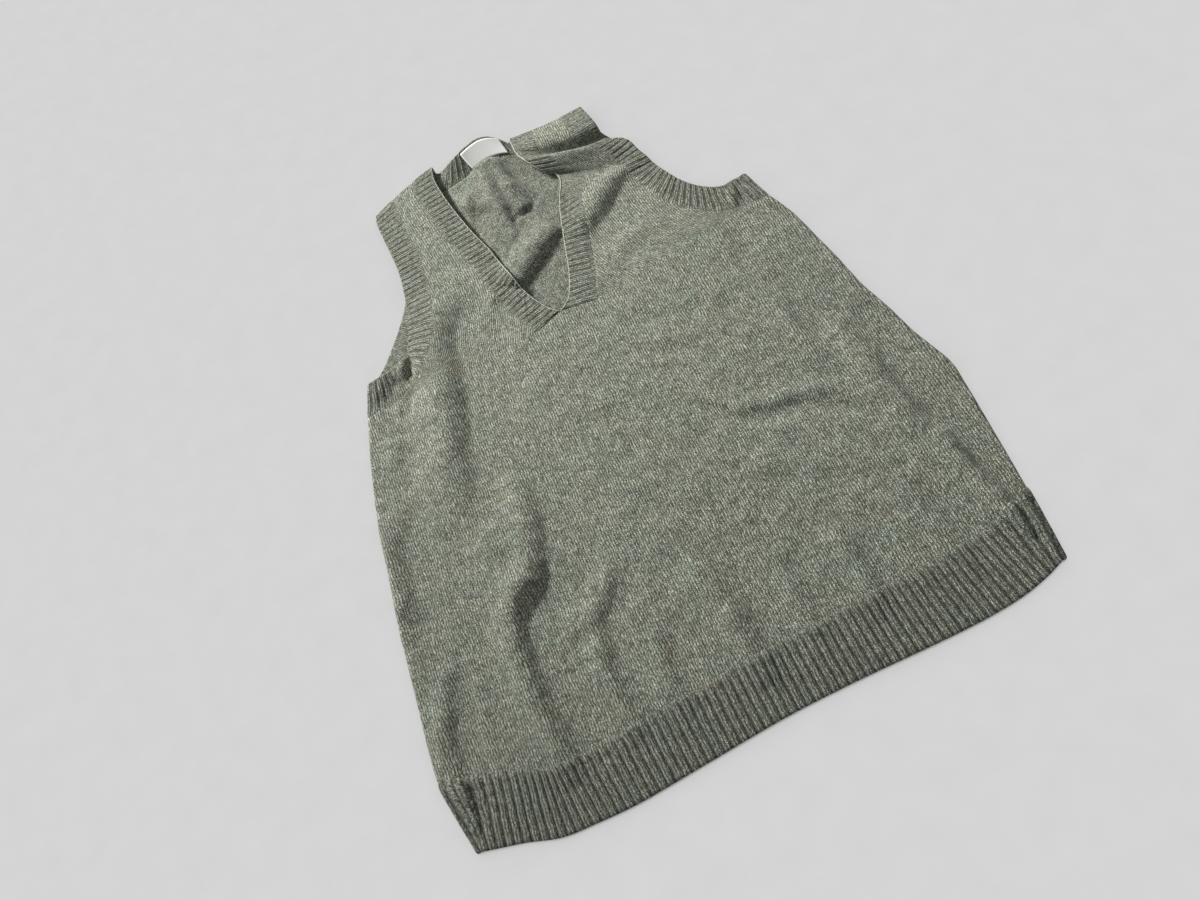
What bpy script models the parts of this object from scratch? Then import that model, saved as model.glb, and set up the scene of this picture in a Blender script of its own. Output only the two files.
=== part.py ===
"""A knitted sweater vest lying flat on its back, its front up and its neck away along +Y.

Every piece is a wall of knitted cloth. The vest has two layers, front and back, which roll into
each other at the side folds and the shoulders. Each piece is cut from one of these surfaces, so
neighbours share their seam. Lengths are in millimetres; MM turns them into Blender's metres.
X runs across the vest and Y up from the hem, and the finished pieces are centred at the end.
"""
import math
from collections import namedtuple

import bmesh
import bpy
from mathutils import Vector

MM = 0.001

# Driving dimensions
WALL = 2.4               # thickness of the knitted cloth
LAYER_GAP = 0.35         # air between the back and the front where they touch
SEAM_GAP = 0.4           # between two sewn pieces
BAND_WIDTH = 25.0        # neckband and armhole bands
LOFT = 1.7               # how far the front stands off the back where it has no fold
HEM_LOFT = 0.5           # the same at the bottom edge
STRAP_JOIN = 490.0       # height on the chest where the shoulder straps begin
PANEL_STEP = 14.0        # spacing of the points of a panel
HEM_RIBS = 70            # ribs across the front welt
HEM_RIB_RISE = 1.3
BAND_RIB_PITCH = 6.2
BAND_RIB_RISE = 0.9
LABEL_WALL = 1.0
LABEL_GAP = 0.6
BODY_CENTRE = (3.11, 298.92)     # middle of the vest as laid, which becomes the origin

# The side folds, from below the hem to just past the underarms
Side = namedtuple("Side", "y left right")
SIDES = [
    Side(-12.0, -233.4, 234.6),
    Side(0.0, -235.7, 236.2),
    Side(44.0, -245.4, 242.4),
    Side(58.0, -248.3, 243.9),
    Side(93.0, -246.2, 247.4),
    Side(134.0, -242.7, 251.6),
    Side(170.0, -240.0, 254.8),
    Side(181.0, -238.6, 252.4),
    Side(210.0, -234.6, 244.4),
    Side(242.0, -230.3, 239.5),
    Side(268.0, -228.4, 233.2),
    Side(309.0, -221.4, 229.0),
    Side(341.0, -214.5, 224.4),
    Side(369.0, -207.4, 220.5),
    Side(395.0, -199.6, 211.8),
    Side(417.0, -190.5, 207.2),
    Side(428.0, -185.0, 205.6),
    Side(445.0, -176.0, 202.0),
]

# The welt: where it is sewn to the body (top) and its free edge (bottom)
Welt = namedtuple("Welt", "top_x top_y bottom_x bottom_y")
WELT = [
    Welt(-248.3, 58.0, -235.7, -0.5),
    Welt(-219.6, 51.4, -224.5, -3.2),
    Welt(-195.0, 44.0, -201.5, -8.7),
    Welt(-172.0, 33.8, -175.0, -16.6),
    Welt(-152.0, 30.6, -147.0, -18.6),
    Welt(-115.0, 31.6, -110.5, -19.2),
    Welt(-59.0, 34.0, -57.0, -15.8),
    Welt(10.0, 37.0, 10.5, -11.6),
    Welt(69.0, 38.6, 69.5, -11.2),
    Welt(126.0, 40.6, 128.5, -12.6),
    Welt(164.0, 41.2, 169.0, -12.6),
    Welt(192.0, 42.8, 199.5, -10.2),
    Welt(214.5, 48.0, 221.0, -5.6),
    Welt(243.9, 58.0, 236.2, -0.5),
]

# Bands on the chest: free edge and sewn edge, from the V point or the side fold up to the straps
Band = namedtuple("Band", "free_x free_y seam_x seam_y")
NECK_LEFT = [
    Band(0.2, 386.2, -30.5, 379.0),
    Band(-7.0, 390.0, -34.0, 388.5),
    Band(-12.6, 401.0, -37.0, 396.5),
    Band(-21.7, 424.0, -45.4, 418.5),
    Band(-28.4, 455.0, -53.0, 451.0),
    Band(-35.0, STRAP_JOIN, -60.0, STRAP_JOIN),
]
NECK_RIGHT = [
    Band(1.2, 386.2, 33.5, 380.0),
    Band(9.0, 391.0, 35.5, 388.5),
    Band(14.0, 401.0, 38.5, 396.0),
    Band(21.9, 424.0, 45.8, 417.0),
    Band(31.0, 456.0, 55.3, 451.0),
    Band(41.0, STRAP_JOIN, 66.0, STRAP_JOIN),
]
ARM_LEFT_FRONT = [
    Band(-190.8, 414.6, -203.0, 383.0),
    Band(-180.0, 415.0, -187.5, 384.5),
    Band(-168.0, 416.6, -171.0, 387.3),
    Band(-157.0, 419.3, -153.0, 393.0),
    Band(-149.0, 422.5, -136.5, 402.0),
    Band(-145.5, 429.0, -124.5, 415.0),
    Band(-140.0, 440.0, -116.0, 430.5),
    Band(-135.0, 454.0, -110.0, 448.0),
    Band(-131.6, 471.0, -105.8, 468.0),
    Band(-128.5, STRAP_JOIN, -103.5, STRAP_JOIN),
]
ARM_RIGHT_FRONT = [
    Band(205.6, 427.0, 212.5, 393.0),
    Band(197.0, 426.6, 201.0, 394.5),
    Band(187.0, 425.4, 188.0, 396.5),
    Band(176.0, 429.6, 172.5, 401.0),
    Band(166.0, 438.0, 157.0, 410.5),
    Band(157.5, 448.5, 143.5, 424.0),
    Band(150.7, 461.0, 132.0, 441.5),
    Band(145.6, 475.0, 122.5, 464.0),
    Band(141.2, STRAP_JOIN, 116.2, STRAP_JOIN),
]
# The same bands behind: from the side fold up to the shoulder
ARM_LEFT_BACK = [
    Band(-190.8, 414.6, -203.0, 383.0),
    Band(-183.0, 420.5, -183.0, 392.0),
    Band(-172.0, 430.0, -164.0, 402.5),
    Band(-160.0, 444.0, -146.5, 420.0),
    Band(-147.5, 459.4, -129.0, 440.5),
    Band(-132.5, 482.5, -110.5, 470.5),
    Band(-127.4, 500.0, -102.5, 497.0),
    Band(-126.0, 526.0, -101.0, 525.0),
    Band(-127.0, 564.0, -102.0, 563.0),
]
ARM_RIGHT_BACK = [
    Band(205.6, 427.0, 212.5, 393.0),
    Band(194.0, 426.2, 197.0, 396.0),
    Band(184.0, 426.0, 180.0, 399.0),
    Band(172.0, 431.0, 163.5, 406.0),
    Band(158.5, 444.0, 142.5, 423.0),
    Band(147.5, 462.0, 125.5, 448.0),
    Band(138.0, 490.0, 113.5, 484.0),
    Band(127.0, 526.0, 102.5, 520.0),
    Band(113.5, 560.0, 88.0, 558.0),
]

# Sections across the shoulder straps, from the chest up: left edge, middle and right edge
Section = namedtuple("Section", "left middle right")
STRAP_LEFT = [
    Section((-128.5, 490.0, 6.2), (-82.0, 490.0, 6.6), (-35.0, 490.0, 6.8)),
    Section((-125.8, 512.0, 5.9), (-84.0, 512.0, 6.4), (-41.0, 512.0, 7.0)),
    Section((-125.2, 536.0, 5.7), (-86.0, 536.5, 6.8), (-46.4, 537.0, 7.2)),
    Section((-126.2, 558.0, 5.7), (-88.5, 560.0, 7.4), (-50.6, 561.0, 7.8)),
    Section((-126.9, 577.0, 5.7), (-90.0, 583.0, 7.2), (-53.4, 584.0, 8.6)),
    Section((-126.8, 587.5, 5.7), (-90.5, 597.5, 7.2), (-53.8, 600.0, 9.8)),
    Section((-125.4, 593.8, 5.6), (-90.0, 606.6, 7.0), (-51.2, 611.2, 10.8)),
]
# The right strap is pushed down into a pleat that is deep at the neck and dies out at the arm
STRAP_RIGHT = [
    Section((41.0, 490.0, 7.6), (93.0, 490.0, 7.6), (141.2, 490.0, 6.4)),
    Section((46.2, 502.0, 8.4), (94.0, 498.0, 7.0), (139.6, 497.0, 6.6)),
    Section((51.8, 514.0, 7.0), (95.0, 504.5, 5.2), (137.8, 503.0, 6.6)),
    Section((55.4, 525.0, 5.0), (96.0, 507.8, 4.3), (136.2, 508.5, 6.6)),
    Section((55.0, 533.6, 4.3), (96.6, 511.2, 4.6), (135.0, 513.5, 6.9)),
    Section((52.4, 538.6, 5.3), (96.6, 514.4, 5.8), (134.2, 518.0, 7.5)),
    Section((49.0, 541.2, 7.2), (96.2, 516.6, 7.3), (133.2, 522.0, 8.3)),
    Section((45.6, 543.0, 9.2), (95.4, 518.6, 8.9), (131.6, 526.0, 9.2)),
    Section((42.4, 544.8, 11.1), (94.0, 521.6, 10.5), (128.8, 529.6, 9.9)),
    Section((39.0, 549.2, 12.4), (92.3, 526.8, 11.7), (124.8, 533.4, 9.6)),
    Section((35.6, 556.0, 12.5), (90.0, 533.2, 10.6), (120.0, 537.6, 8.0)),
    Section((32.4, 562.4, 11.6), (88.0, 540.5, 6.8), (116.2, 542.6, 5.8)),
    Section((30.3, 568.4, 10.5), (86.5, 550.0, 4.5), (114.6, 549.6, 4.6)),
    Section((29.6, 576.4, 10.0), (85.5, 561.0, 6.6), (113.2, 561.0, 6.2)),
    Section((30.0, 586.2, 9.8), (84.5, 576.0, 9.2), (111.2, 577.0, 8.4)),
    Section((30.2, 596.0, 9.6), (84.0, 589.5, 8.4), (109.6, 590.3, 7.8)),
]

# The back neck, from the left shoulder fold to the right one: it stands up in the middle
Neck = namedtuple("Neck", "free seam")
BACK_NECK = [
    Neck((-46.8, 610.2, 2.0), (-71.5, 597.5, 1.2)),
    Neck((-41.2, 608.8, 3.0), (-62.0, 589.8, 1.2)),
    Neck((-32.0, 609.6, 4.8), (-46.5, 586.8, 1.4)),
    Neck((-22.0, 611.4, 7.2), (-29.0, 587.6, 2.0)),
    Neck((-10.5, 613.6, 11.4), (-13.0, 590.0, 3.4)),
    Neck((2.0, 614.6, 14.0), (2.0, 591.6, 4.6)),
    Neck((12.5, 612.4, 12.6), (16.5, 589.4, 4.2)),
    Neck((21.0, 607.4, 8.6), (28.0, 584.4, 2.8)),
    Neck((24.6, 602.6, 5.9), (36.8, 581.4, 1.8)),
    Neck((27.2, 600.0, 4.2), (47.0, 582.5, 1.2)),
]

# Folds: the cloth stands high on the left of its line, as one walks along it, and drops to the
# right; the line is where it is steepest, and width is from there to the crest or the foot
Fold = namedtuple("Fold", "drop width line")
BACK_FOLDS = [
    Fold(8.0, 10.0, [(-40.0, 412.0), (-16.0, 438.0), (4.0, 453.0), (28.0, 466.0), (60.0, 474.0)]),
    Fold(4.4, 7.0, [(-9.0, 498.0), (-10.0, 528.0), (-10.0, 556.0), (-11.0, 584.0)]),
    Fold(4.4, 6.0, [(4.0, 586.0), (4.0, 560.0), (6.0, 545.0), (15.0, 533.0), (20.0, 519.0)]),
    Fold(3.0, 7.0, [(24.0, 504.0), (25.0, 520.0), (18.0, 537.0), (14.0, 560.0)]),
]
FRONT_FOLDS = [
    Fold(5.6, 11.0, [(-142.0, 250.0), (-129.0, 297.0), (-115.0, 347.0), (-112.0, 396.0),
                     (-104.0, 424.0), (-84.0, 452.0)]),
    Fold(7.4, 10.0, [(-138.0, 40.0), (-143.0, 90.0), (-143.0, 124.0), (-134.0, 151.0),
                     (-113.0, 164.0), (-99.0, 188.0), (-93.0, 225.0), (-96.0, 272.0)]),
    Fold(3.0, 9.0, [(-86.0, 40.0), (-87.0, 80.0), (-84.0, 106.0), (-70.0, 124.0), (-48.0, 138.0)]),
    Fold(3.0, 8.0, [(-222.0, 46.0), (-225.0, 76.0), (-220.0, 99.0), (-206.0, 130.0)]),
    Fold(2.6, 8.0, [(22.0, 46.0), (18.0, 72.0), (8.0, 98.0), (2.0, 118.0)]),
    Fold(3.2, 9.0, [(48.0, 262.0), (74.0, 236.0), (98.0, 211.0), (146.0, 201.0), (168.0, 186.0),
                    (186.0, 162.0)]),
    Fold(2.0, 9.0, [(60.0, 168.0), (104.0, 152.0), (150.0, 124.0), (180.0, 116.0)]),
    Fold(2.2, 8.0, [(178.0, 244.0), (172.0, 286.0), (168.0, 340.0), (165.0, 386.0), (156.0, 420.0)]),
    Fold(2.6, 8.0, [(238.0, 52.0), (230.0, 80.0), (230.0, 112.0)]),
    Fold(2.0, 12.0, [(-216.0, 196.0), (-211.0, 236.0), (-200.0, 268.0)]),
    Fold(2.4, 7.0, [(-66.0, 402.0), (-58.0, 420.0), (-42.0, 438.0)]),
    Fold(3.4, 6.0, [(-167.0, 372.0), (-161.0, 390.0), (-154.0, 408.0), (-146.0, 432.0)]),
    Fold(5.0, 10.0, [(44.0, 448.0), (62.0, 455.0), (82.0, 467.0), (100.0, 482.0), (118.0, 494.0),
                     (138.0, 502.0)]),
]

# Finishes: colour, roughness
WOOL = ((0.205, 0.205, 0.150, 1.0), 0.92)
RIB_WOOL = ((0.170, 0.172, 0.125, 1.0), 0.94)
WOVEN = ((0.830, 0.830, 0.810, 1.0), 0.75)


# ---------------------------------------------------------------- curves through table rows

def blend(start, end, share):
    """The value a share of the way from start to end, for numbers and for rows of numbers."""
    if isinstance(start, (int, float)):
        return start + (end - start) * share
    return tuple(a + (b - a) * share for a, b in zip(start, end))


def through(rows, place):
    """A point on the smooth curve through the rows, place 0 being the first row and 1 the next."""
    last = len(rows) - 1
    index = max(0, min(last - 1, int(math.floor(place))))
    share = place - index
    row_a, row_b = rows[index], rows[index + 1]
    before = rows[index - 1] if index > 0 else tuple(2 * a - b for a, b in zip(row_a, row_b))
    after = rows[index + 2] if index + 2 <= last else tuple(2 * b - a for a, b in zip(row_a, row_b))
    point = []
    for p0, p1, p2, p3 in zip(before, row_a, row_b, after):
        slope_a, slope_b = (p2 - p0) / 2, (p3 - p1) / 2
        s, t = share, 1 - share
        point.append(p1 * (1 + 2 * s) * t * t + slope_a * s * t * t
                     + p2 * s * s * (3 - 2 * s) - slope_b * s * s * t)
    return tuple(point)


def side_fold(y, column):
    """X of the side fold at height y: straight runs between rows, their corners rounded."""
    total = 0.0
    for nudge in (-6.0, 0.0, 6.0):
        at = y + nudge
        index = 0
        while index < len(SIDES) - 2 and SIDES[index + 1].y < at:
            index += 1
        low, high = SIDES[index], SIDES[index + 1]
        share = (at - low.y) / (high.y - low.y)
        total += blend(getattr(low, column), getattr(high, column), share)
    return total / 3


def spread(rows, count):
    """Count + 1 places along the rows' curve, evenly spaced by length on its middle line."""
    fine = 24 * (len(rows) - 1)
    points = [through(rows, i * (len(rows) - 1) / fine) for i in range(fine + 1)]
    half = len(rows[0]) // 2
    mids = [tuple((p[i] + p[i + half]) / 2 for i in range(half)) for p in points]
    lengths = [0.0]
    for a, b in zip(mids, mids[1:]):
        lengths.append(lengths[-1] + math.dist(a, b))
    places, index = [], 0
    for step in range(count + 1):
        goal = lengths[-1] * step / count
        while index < fine - 1 and lengths[index + 1] < goal:
            index += 1
        share = (goal - lengths[index]) / max(lengths[index + 1] - lengths[index], 1e-9)
        places.append((index + share) * (len(rows) - 1) / fine)
    return places


# ---------------------------------------------------------------- the two layers of cloth

FOLD_PATH_STEPS = 6
folded_paths = {}


def fold_path(fold):
    """The fold's line as short straight pieces, worked out once."""
    key = id(fold)
    if key not in folded_paths:
        steps = FOLD_PATH_STEPS * (len(fold.line) - 1)
        folded_paths[key] = [through(fold.line, i / FOLD_PATH_STEPS) for i in range(steps + 1)]
    return folded_paths[key]


def fold_height(fold, x, y):
    """Height that one fold adds at (x, y): a crest on its left, a trough on its right."""
    path = fold_path(fold)
    pieces = len(path) - 1
    nearest = None
    for i in range(pieces):
        (ax, ay), (bx, by) = path[i], path[i + 1]
        dx, dy = bx - ax, by - ay
        length = math.hypot(dx, dy)
        share = max(0.0, min(1.0, ((x - ax) * dx + (y - ay) * dy) / length ** 2))
        away = math.hypot(x - ax - dx * share, y - ay - dy * share)
        if nearest is None or away < nearest[0]:
            right = ((x - ax) * dy - (y - ay) * dx) / length
            nearest = (away, math.copysign(away, right), (i + share) / pieces)
    away, off, along = nearest
    if away > 5 * fold.width:
        return 0.0
    taper = min(1.0, 4.0 * along * (1 - along)) ** 0.75 if 0 < along < 1 else 0.0
    u = off / fold.width
    return -0.5 * fold.drop * u * math.exp((1 - u * u) / 2) * taper


def soft_floor(value, softness):
    """The value where it is well above 0, easing to 0 below."""
    return softness * math.log1p(math.exp(value / softness)) if value < 20 * softness else value


BACK_FOLD_LOFT = 3.2
NECK_LIFT_REACH = 16.0


def neck_seam_lift(x, y):
    """Height of the back's neck seam above the table, dying out below the seam."""
    if not -62.0 < x < 44.0:
        return 0.0
    for low, high in zip(BACK_NECK, BACK_NECK[1:]):
        if low.seam[0] <= x <= high.seam[0]:
            share = (x - low.seam[0]) / (high.seam[0] - low.seam[0])
            _, seam_y, seam_z = blend(low.seam, high.seam, share)
            below = max(0.0, seam_y - y)
            return (seam_z - WALL / 2) * math.exp(-below / NECK_LIFT_REACH)
    return 0.0


def back_height(x, y):
    """Height of the middle of the back's wall above the table."""
    relief = 0.0
    near = 0.0
    for fold in BACK_FOLDS:
        height = fold_height(fold, x, y)
        relief += height
        near += abs(height)
    loft = BACK_FOLD_LOFT * (1 - math.exp(-near / 1.5))
    return WALL / 2 + max(0.0, soft_floor(loft + relief, 0.5) - 0.35) + neck_seam_lift(x, y)


def front_height(x, y):
    """Height of the middle of the front's wall: on the back, and lifted by its own folds."""
    rise = max(0.0, min(1.0, (y + 20.0) / 120.0))
    loft = HEM_LOFT + (LOFT - HEM_LOFT) * rise * rise * (3 - 2 * rise)
    relief = sum(fold_height(fold, x, y) for fold in FRONT_FOLDS)
    return back_height(x, y) + WALL + LAYER_GAP + soft_floor(loft + relief, 0.6)


def roll_at(x, y):
    """Where (x, y) is on a side fold: side sign, fold x, radius and angle turned (0 is flat)."""
    if y > SIDES[-1].y:
        return 0, x, 1.0, 0.0
    for sign, column in ((-1, "left"), (1, "right")):
        edge = side_fold(y, column)
        inside = (edge - x) * sign
        if inside < 12.0:
            flat_x = edge - sign * max(inside, 0.0)
            radius = (front_height(flat_x, y) - back_height(flat_x, y)) / 2
            if inside < radius:
                return sign, edge, radius, (radius - inside) / radius
    return 0, x, 1.0, 0.0


def front(x, y):
    """Point and outward direction of the front layer at (x, y), rolled down at the side folds."""
    sign, edge, radius, angle = roll_at(x, y)
    if sign == 0:
        return (x, y, front_height(x, y)), (0.0, 0.0, 1.0)
    top = front_height(edge - sign * max(0.0, (edge - x) * sign), y)
    point = (edge - sign * radius * (1 - math.sin(angle)), y, top - radius * (1 - math.cos(angle)))
    return point, (sign * math.sin(angle), 0.0, math.cos(angle))


def back(x, y):
    """Point and outward direction of the back layer at (x, y), rolled up at the side folds."""
    sign, edge, radius, angle = roll_at(x, y)
    if sign == 0:
        return (x, y, back_height(x, y)), (0.0, 0.0, -1.0)
    low = back_height(edge - sign * max(0.0, (edge - x) * sign), y)
    point = (edge - sign * radius * (1 - math.sin(angle)), y, low + radius * (1 - math.cos(angle)))
    return point, (sign * math.sin(angle), 0.0, -math.cos(angle))


def at_fold(sign, y, turned):
    """X on the cloth at which it has turned by an angle (radians) round a side fold."""
    edge = side_fold(y, "left" if sign < 0 else "right")
    radius = (front_height(edge, y) - back_height(edge, y)) / 2
    return edge - sign * radius * (1 - turned)


def fold_gap_angle(sign, y):
    """The angle at which a panel ends, half a seam gap short of the side seam."""
    edge = side_fold(y, "left" if sign < 0 else "right")
    radius = (front_height(edge, y) - back_height(edge, y)) / 2
    return math.pi / 2 - SEAM_GAP / 2 / radius


# Shoulder straps: row counts the sections, across runs from 0 at the left edge to 1 at the right

def strap_row(sections, row, across):
    """A point on a strap, from its table of sections."""
    left = through([s.left for s in sections], row)
    middle = through([s.middle for s in sections], row)
    right = through([s.right for s in sections], row)
    half = math.dist(left, middle)
    centre = half / (half + math.dist(middle, right))
    if across < centre:
        return blend(left, middle, across / centre)
    return blend(middle, right, (across - centre) / (1 - centre))


def strap_point(sections, row, across):
    """The same, eased into the chest at its foot and rolled over at the shoulder."""
    last = len(sections) - 1
    if row > last:
        x, y, z = strap_row(sections, last, across)
        radius = (z - WALL / 2) / 2
        angle = (row - last) * math.pi / 2
        return (x, y + radius * math.sin(angle), z - radius * (1 - math.cos(angle)))
    x, y, z = strap_row(sections, row, across)
    if row < 2:
        ease = (row / 2) ** 2 * (3 - row)
        z = blend(front_height(x, y), z, ease)
    return (x, y, z)


def strap(sections, row, across):
    """Point and outward direction of a strap."""
    step_row, step_across = 0.3, 0.01
    point = strap_point(sections, row, across)
    if row <= 0:
        return point, (0.0, 0.0, 1.0)
    along = Vector(strap_point(sections, row + step_row, across))
    along -= Vector(strap_point(sections, row - step_row, across))
    cross = Vector(strap_point(sections, row, across + step_across))
    cross -= Vector(strap_point(sections, row, across - step_across))
    out = cross.cross(along).normalized()
    ease = min(1.0, row)
    return point, tuple(Vector((0, 0, 1)).lerp(out, ease).normalized())


def strap_behind(sections, turned, across):
    """The back of a shoulder: from flat on the table (0) up to the shoulder seam (1)."""
    x, y, z = strap_row(sections, len(sections) - 1, across)
    radius = (z - WALL / 2) / 2
    angle = turned * math.pi / 2
    point = (x, y + radius * math.sin(angle), WALL / 2 + radius * (1 - math.cos(angle)))
    return point, (0.0, math.sin(angle), -math.cos(angle))


def band_share(sections, row):
    """How much of a strap's width a band takes up."""
    row = min(row, len(sections) - 1)
    left, right = strap_row(sections, row, 0.0), strap_row(sections, row, 1.0)
    middle = through([s.middle for s in sections], row)
    return BAND_WIDTH / (math.dist(left, middle) + math.dist(middle, right))


def shoulder_gap_row(sections, across):
    """Row at which the front ends, half a seam gap short of the shoulder seam."""
    radius = (strap_row(sections, len(sections) - 1, across)[2] - WALL / 2) / 2
    return len(sections) - SEAM_GAP / 2 / radius / (math.pi / 2)


# ---------------------------------------------------------------- nets of points, and walls

class Net:
    """A sheet of cloth: points with outward directions, joined by triangles."""

    def __init__(self):
        self.points = []
        self.outward = []
        self.faces = []

    def row(self, places):
        """Add a row of (point, direction) and give back its point numbers."""
        first = len(self.points)
        for point, direction in places:
            self.points.append(Vector(point))
            self.outward.append(Vector(direction))
        return list(range(first, len(self.points)))

    def join(self, lower, upper, flip=False):
        """Fill between two rows that run the same way, whatever their numbers of points."""
        self.faces.extend(zip_rows(self.points, lower, upper, flip, self.outward))


def faces_outward(points, outward, face):
    """Whether a triangle looks the way its corners' directions do."""
    a, b, c = (points[v] for v in face)
    return (b - a).cross(c - a).dot(outward[face[0]] + outward[face[1]] + outward[face[2]]) > 0


def zip_rows(points, lower, upper, flip, outward=None):
    """Triangles between two rows of point numbers, across the shorter diagonal that is sound."""
    faces = []
    i = j = 0
    while i < len(lower) - 1 or j < len(upper) - 1:
        choices = []
        if i < len(lower) - 1:
            way = (points[lower[i + 1]] - points[upper[j]]).length
            choices.append((way, (lower[i], lower[i + 1], upper[j]), 1, 0))
        if j < len(upper) - 1:
            way = (points[lower[i]] - points[upper[j + 1]]).length
            choices.append((way, (lower[i], upper[j + 1], upper[j]), 0, 1))
        choices = [(way, face[::-1] if flip else face, di, dj) for way, face, di, dj in choices]
        if outward is not None:
            sound = [c for c in choices if faces_outward(points, outward, c[1])]
            choices = sound or choices
        _, face, di, dj = min(choices, key=lambda choice: choice[0])
        i, j = i + di, j + dj
        if len(set(face)) == 3:
            faces.append(face)
    return faces


def material(name, finish):
    colour, roughness = finish
    shade = bpy.data.materials.new(name)
    shade.use_nodes = True
    shader = shade.node_tree.nodes["Principled BSDF"]
    shader.inputs["Base Color"].default_value = colour
    shader.inputs["Roughness"].default_value = roughness
    shader.inputs["Metallic"].default_value = 0.0
    return shade


def piece(name, points, faces, finish):
    """Make a closed mesh object from points in millimetres."""
    mesh = bpy.data.meshes.new(name)
    shift = Vector((BODY_CENTRE[0], BODY_CENTRE[1], 0.0))
    mesh.from_pydata([(p - shift) * MM for p in points], [], faces)
    shape = bmesh.new()
    shape.from_mesh(mesh)
    bmesh.ops.recalc_face_normals(shape, faces=shape.faces)
    shape.to_mesh(mesh)
    shape.free()
    mesh.shade_smooth()
    mesh.set_sharp_from_angle(angle=math.radians(40))
    mesh.materials.append(material(name + "_finish", finish))
    thing = bpy.data.objects.new(name, mesh)
    bpy.context.collection.objects.link(thing)
    return thing


def wall_from_net(name, net, finish, thickness=WALL):
    """Give a net a wall: the outer side, the inner side, and a rim along every free edge."""
    count = len(net.points)
    outer = [p + n * thickness / 2 for p, n in zip(net.points, net.outward)]
    inner = [p - n * thickness / 2 for p, n in zip(net.points, net.outward)]
    faces = list(net.faces)
    faces += [tuple(v + count for v in reversed(face)) for face in net.faces]
    edges = {(a, b) for face in net.faces for a, b in zip(face, face[1:] + face[:1])}
    for a, b in sorted(edges):
        if (b, a) not in edges:
            faces.append((b, a, a + count))
            faces.append((b, a + count, b + count))
    return piece(name, outer + inner, faces, finish)


# Ribs: a narrow valley and a flat top, three lines to a rib

RIB_LINES = ((0.0, 0.0), (0.30, 1.0), (0.72, 1.0))


def rib_lift(phase):
    """Height of a rib's profile, from 0 in the valley to 1 on top, over one pitch."""
    return min(1.0, phase / 0.30, (1 - phase) / 0.28)


def rib_run(sections, pitch):
    """Columns along a ribbed run: the section, the rib's lift, and whether the inside has it."""
    places = [0.0]
    for start, end in zip(sections, sections[1:]):
        places.append(places[-1] + (Vector(end[1][0]) - Vector(start[1][0])).length)
    ribs = max(1, round(places[-1] / pitch))
    true_pitch = places[-1] / ribs
    marks = [(place, True) for place in places]
    for rib in range(ribs):
        for offset, lift in RIB_LINES:
            place = (rib + offset) * true_pitch
            if min(abs(place - p) for p in places) > 0.16 * true_pitch:
                marks.append((place, lift == 0))
    columns = []
    for place, kept in sorted(marks):
        index = max(i for i in range(len(places) - 1) if places[i] <= place or i == 0)
        share = (place - places[index]) / (places[index + 1] - places[index])
        section = straight(sections[index], sections[index + 1], share)
        columns.append((section, rib_lift((place / true_pitch) % 1.0), kept))
    return columns[:-1] + [(sections[-1], 0.0, True)]


def straight(start, end, share):
    """The section a share of the way between two sections, on straight lines."""
    return [(blend(p, q, share), blend(m, n, share)) for (p, m), (q, n) in zip(start, end)]


def ribbed_strip(name, place, stations, ribbed, rise, pitch, closed, finish):
    """A strip with ribs across it on its outer side, and a plain inside.

    place(station, share) gives the point and direction a share of the way from the free edge to
    the seam. Ribs are set out by length wherever ribbed(station) holds.
    """
    shares = (0.0, 0.5, 1.0)
    sections = [[place(station, share) for share in shares] for station in stations]
    fine = [(sections[0], 0.0, True)]
    index = 0
    while index < len(sections) - 1:
        stop = index + 1
        if ribbed((stations[index] + stations[stop]) / 2):
            while stop < len(sections) - 1 and ribbed((stations[stop] + stations[stop + 1]) / 2):
                stop += 1
            fine.extend(rib_run(sections[index:stop + 1], pitch)[1:])
        else:
            fine.append((sections[stop], 0.0, True))
        index = stop
    if closed:
        fine.pop()
    points = []
    outer, inner = [], []
    for section, lift, _ in fine:
        row = []
        for share, (point, direction) in zip(shares, section):
            lifted = WALL / 2 + rise * lift * (1.0 if share < 1 else 0.4)
            row.append(len(points))
            points.append(Vector(point) + Vector(direction) * lifted)
        outer.append(row)
    for section in [section for section, _, kept in fine if kept]:
        row = []
        for point, direction in section:
            row.append(len(points))
            points.append(Vector(point) - Vector(direction) * WALL / 2)
        inner.append(row)
    if closed:
        outer.append(outer[0])
        inner.append(inner[0])
    faces = []
    for rows, flip in ((outer, False), (inner, True)):
        for before, after in zip(rows, rows[1:]):
            for k in range(len(shares) - 1):
                corners = (before[k], before[k + 1], after[k + 1], after[k])
                split = [(corners[0], corners[1], corners[2]), (corners[0], corners[2], corners[3])]
                faces.extend(face[::-1] if flip else face for face in split)
    for edge in (0, -1):
        over = [row[edge] for row in outer]
        under = [row[edge] for row in inner]
        faces.extend(zip_rows(points, over, under, edge == 0))
    if not closed:
        for rows in ((outer[0], inner[0]), (outer[-1], inner[-1])):
            faces.extend(zip_rows(points, rows[0], rows[1], rows[0] is outer[0]))
    return piece(name, points, faces, finish)


# ---------------------------------------------------------------- stations shared by the seams

NECK_STEPS = 10           # rows of the front between the V point and the straps
ARM_STEPS = 11            # the same at the armhole, whose first step is on the row below


def chest_stations(rows, steps):
    """Stations of a chest band, evenly spaced; the last is where the strap begins."""
    return [through(rows, place) for place in spread(rows, steps)]


def seam_shifted(station):
    """The panel's point beside a band's seam: one gap further from the free edge."""
    free_x, free_y, seam_x, seam_y = station
    reach = math.dist((free_x, free_y), (seam_x, seam_y))
    share = 1 + SEAM_GAP / reach
    return blend(free_x, seam_x, share), blend(free_y, seam_y, share)


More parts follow.
